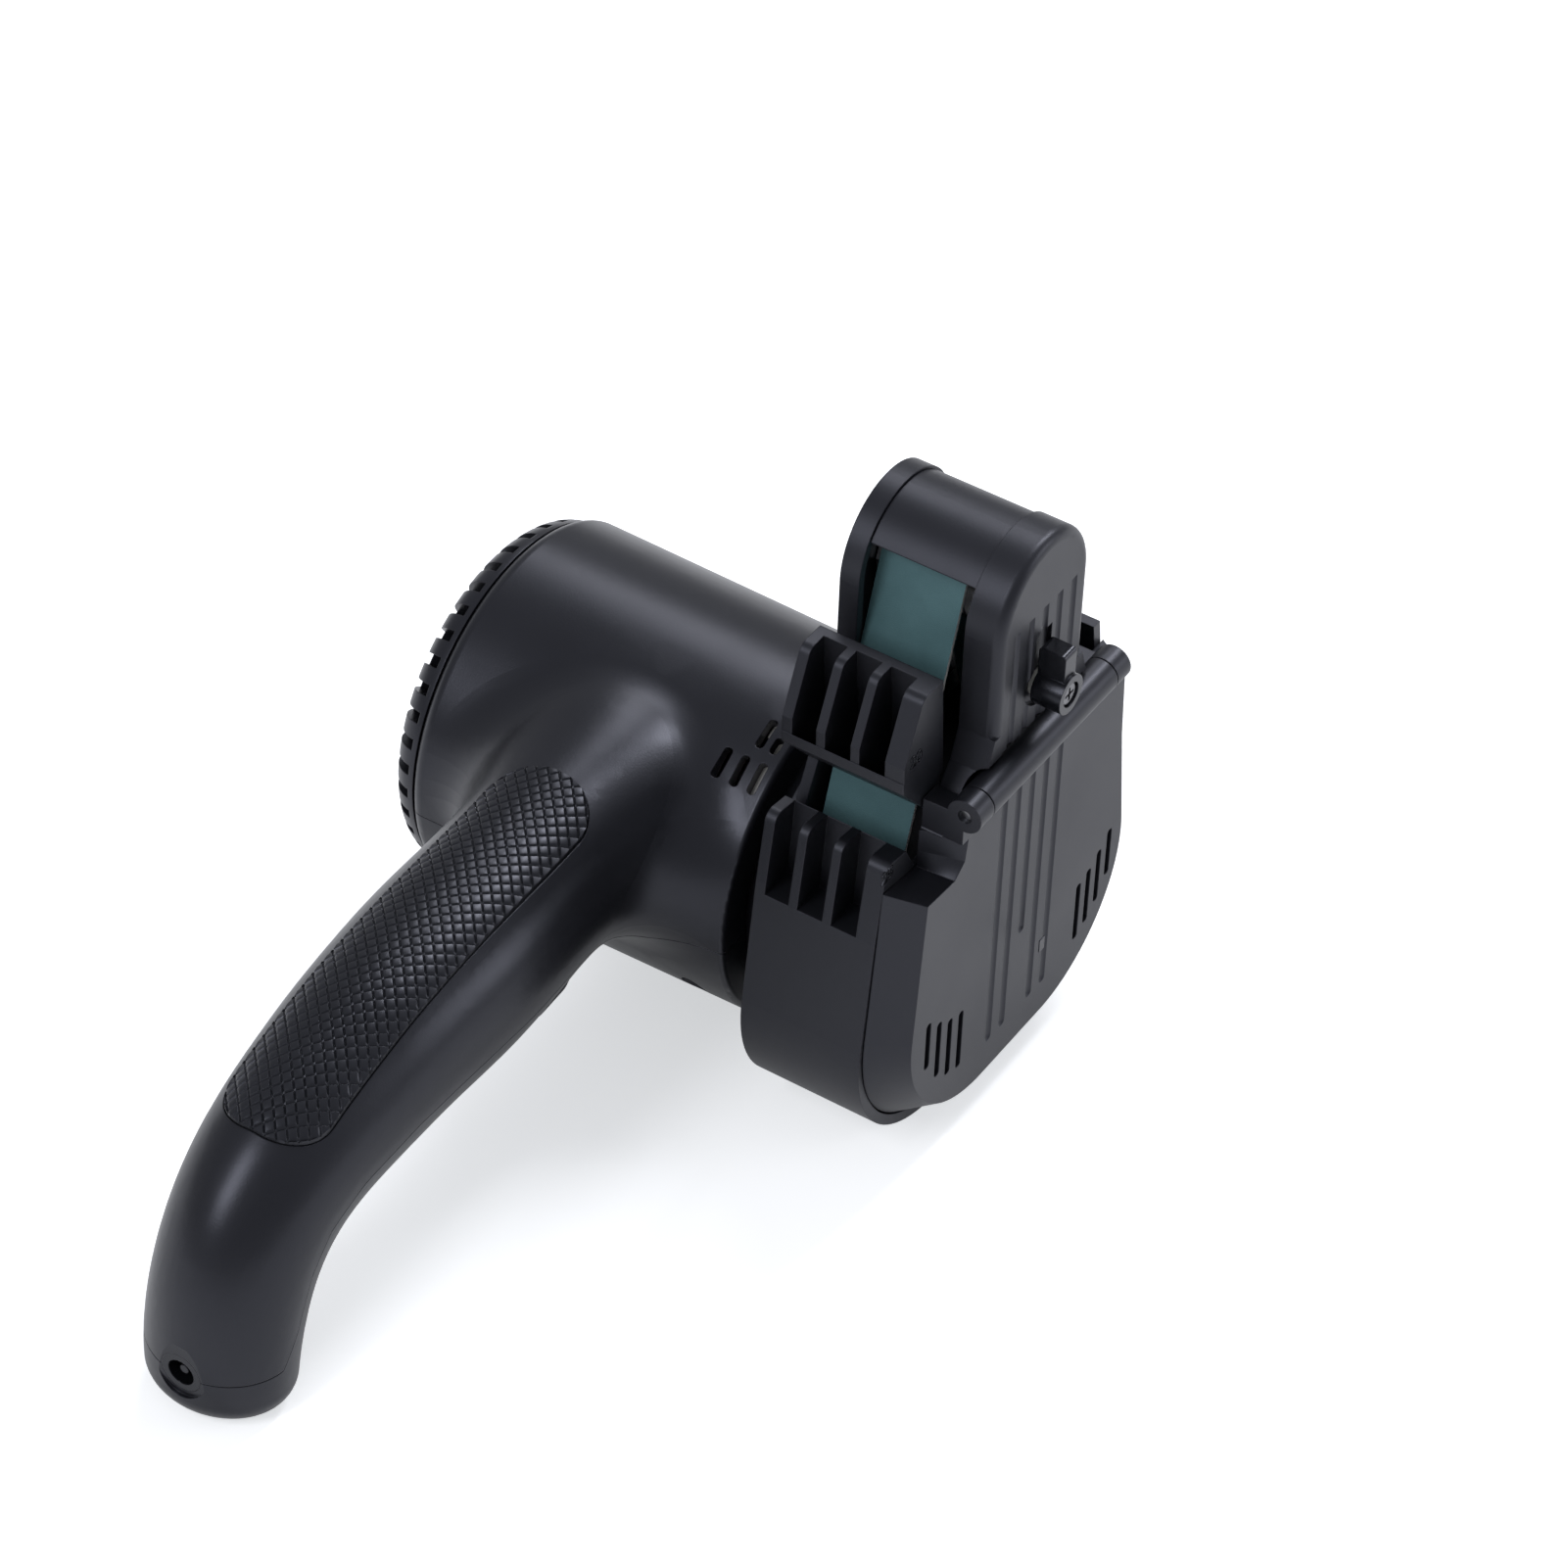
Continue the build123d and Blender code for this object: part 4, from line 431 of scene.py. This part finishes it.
def marks(materials):
    """Guide numbers on the two front ribs and the small mark below the door's middle groove."""
    seam_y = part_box("head_back")[0][1]
    face_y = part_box("front_door")[0][1]
    for text, spot in (("20", UPPER_NUMBER), ("25", LOWER_NUMBER)):
        number(text, Vector((AXIS.x + spot.x, seam_y, AXIS.z + spot.z)), materials)
    mark_place = Vector((AXIS.x + DOOR_MARK.x, face_y, AXIS.z + DOOR_MARK.z))
    plate("door_mark", DOOR_MARK_SIZE, mark_place, DOOR_MARK_T, DOOR_MARK_ROUND, materials, "door")


def sticker_arrow():
    """Red curved arrow printed on the sticker at the back of the head."""
    low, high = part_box("arrow_sticker")
    centre = Vector(((low[0] + high[0]) / 2, high[1], (low[2] + high[2]) / 2))
    mesh = bmesh.new()
    inner = []
    outer = []
    for k in range(ARROW_STEPS + 1):
        angle = radians(ARROW_START + ARROW_SWEEP * k / ARROW_STEPS)
        for ring, radius in ((inner, ARROW_R - ARROW_W / 2), (outer, ARROW_R + ARROW_W / 2)):
            point = Vector((radius * cos(angle), ARROW_T, radius * sin(angle)))
            ring.append(mesh.verts.new(centre + point))
    for k in range(ARROW_STEPS):
        mesh.faces.new((inner[k], inner[k + 1], outer[k + 1], outer[k]))
    tip_angle = radians(ARROW_START + ARROW_SWEEP)
    along = Vector((-sin(tip_angle), 0.0, cos(tip_angle)))
    across = Vector((cos(tip_angle), 0.0, sin(tip_angle)))
    root = centre + across * ARROW_R + Vector((0.0, ARROW_T, 0.0))
    half = across * ARROW_W * ARROW_HEAD_HALF
    head = [root - half, root + half, root + along * ARROW_W * ARROW_HEAD_LENGTH]
    mesh.faces.new([mesh.verts.new(point) for point in head])
    grown = bmesh.ops.extrude_face_region(mesh, geom=mesh.faces[:])["geom"]
    for vertex in vertices_of(grown):
        vertex.co.y -= ARROW_T
    bmesh.ops.recalc_face_normals(mesh, faces=mesh.faces)
    red = moulded("Red ink", (0.62, 0.02, 0.02), 0.35, depth=0.002, edge=0.02)
    new_piece("sticker_arrow", mesh_data(mesh, "sticker_arrow"), red, "housing")


# ---------------------------------------------------------------- studio
def ray_strength(tree, diffuse, glossy, seen, target):
    """Strength that differs for diffuse rays, for reflections and for what the camera sees."""
    path = add(tree, "ShaderNodeLightPath")
    larger = add(tree, "ShaderNodeMath", operation="MAXIMUM")
    spread(tree, path.outputs["Is Glossy Ray"], diffuse, glossy, larger.inputs[0])
    spread(tree, path.outputs["Is Camera Ray"], diffuse, seen, larger.inputs[1])
    tree.links.new(larger.outputs[0], target)


def camera():
    """Camera at the photograph's place, with its lens and small roll."""
    data = bpy.data.cameras.new("Camera")
    data.lens = LENS_MM
    data.sensor_width = SENSOR_MM
    data.clip_end = 10.0
    level = cos(CAMERA_ELEVATION)
    back = Vector((level * sin(CAMERA_AZIMUTH), -level * cos(CAMERA_AZIMUTH), sin(CAMERA_ELEVATION)))
    right = Vector((cos(CAMERA_AZIMUTH), sin(CAMERA_AZIMUTH), 0.0))
    up = back.cross(right)
    rolled_right = right * cos(CAMERA_ROLL) + up * sin(CAMERA_ROLL)
    rolled_up = up * cos(CAMERA_ROLL) - right * sin(CAMERA_ROLL)
    turn = Matrix((rolled_right, rolled_up, back)).transposed().to_4x4()
    seat = bpy.data.objects.new("Camera", data)
    seat.matrix_world = Matrix.Translation(AXIS + CAMERA_TARGET + back * CAMERA_DISTANCE) @ turn
    bpy.context.scene.collection.objects.link(seat)
    bpy.context.scene.camera = seat


def lamp(name, place, aim, size, watts):
    """Soft rectangular lamp that points at a spot."""
    data = bpy.data.lights.new(name, "AREA")
    data.shape = "RECTANGLE"
    data.size, data.size_y = size
    data.energy = watts
    data.color = LAMP_TINT
    thing = bpy.data.objects.new(name, data)
    thing.location = place
    thing.rotation_euler = (aim - place).to_track_quat("-Z", "Y").to_euler()
    bpy.context.scene.collection.objects.link(thing)


def floor():
    """Plain pale floor that keeps the object's soft shadow."""
    mesh = bpy.data.meshes.new("Floor")
    signs = ((-1, -1), (1, -1), (1, 1), (-1, 1))
    corners = [(sx * FLOOR_REACH, sy * FLOOR_REACH, 0) for sx, sy in signs]
    mesh.from_pydata(corners, [], [(0, 1, 2, 3)])
    thing = bpy.data.objects.new("Floor", mesh)
    bpy.context.scene.collection.objects.link(thing)
    made, tree, shader = new_material("Floor white")
    shader.inputs["Base Color"].default_value = (0.86, 0.86, 0.86, 1.0)
    shader.inputs["Roughness"].default_value = 0.9
    shader.inputs["Emission Color"].default_value = (0.96, 0.98, 1.0, 1.0)
    ray_strength(tree, 0.0, FLOOR_GLOSSY, FLOOR_SEEN, shader.inputs["Emission Strength"])
    mesh.materials.append(made)


def studio():
    """Even surroundings, white behind the object, and four soft lamps."""
    world = bpy.data.worlds.new("Studio")
    world.use_nodes = True
    bpy.context.scene.world = world
    tree = world.node_tree
    back = tree.nodes["Background"]
    back.inputs["Color"].default_value = WORLD_COLOUR
    ray_strength(tree, WORLD_DIFFUSE, WORLD_GLOSSY, WORLD_SEEN, back.inputs["Strength"])
    middle = AXIS + LAMP_AIM
    for name, place, size, watts in LAMPS:
        lamp(name, middle + Vector(place), middle, size, watts)
    bpy.context.scene.view_settings.view_transform = "Standard"


materials = finishes()
dress_nodes(materials)
grip_pad(materials)
marks(materials)
sticker_arrow()
camera()
floor()
studio()
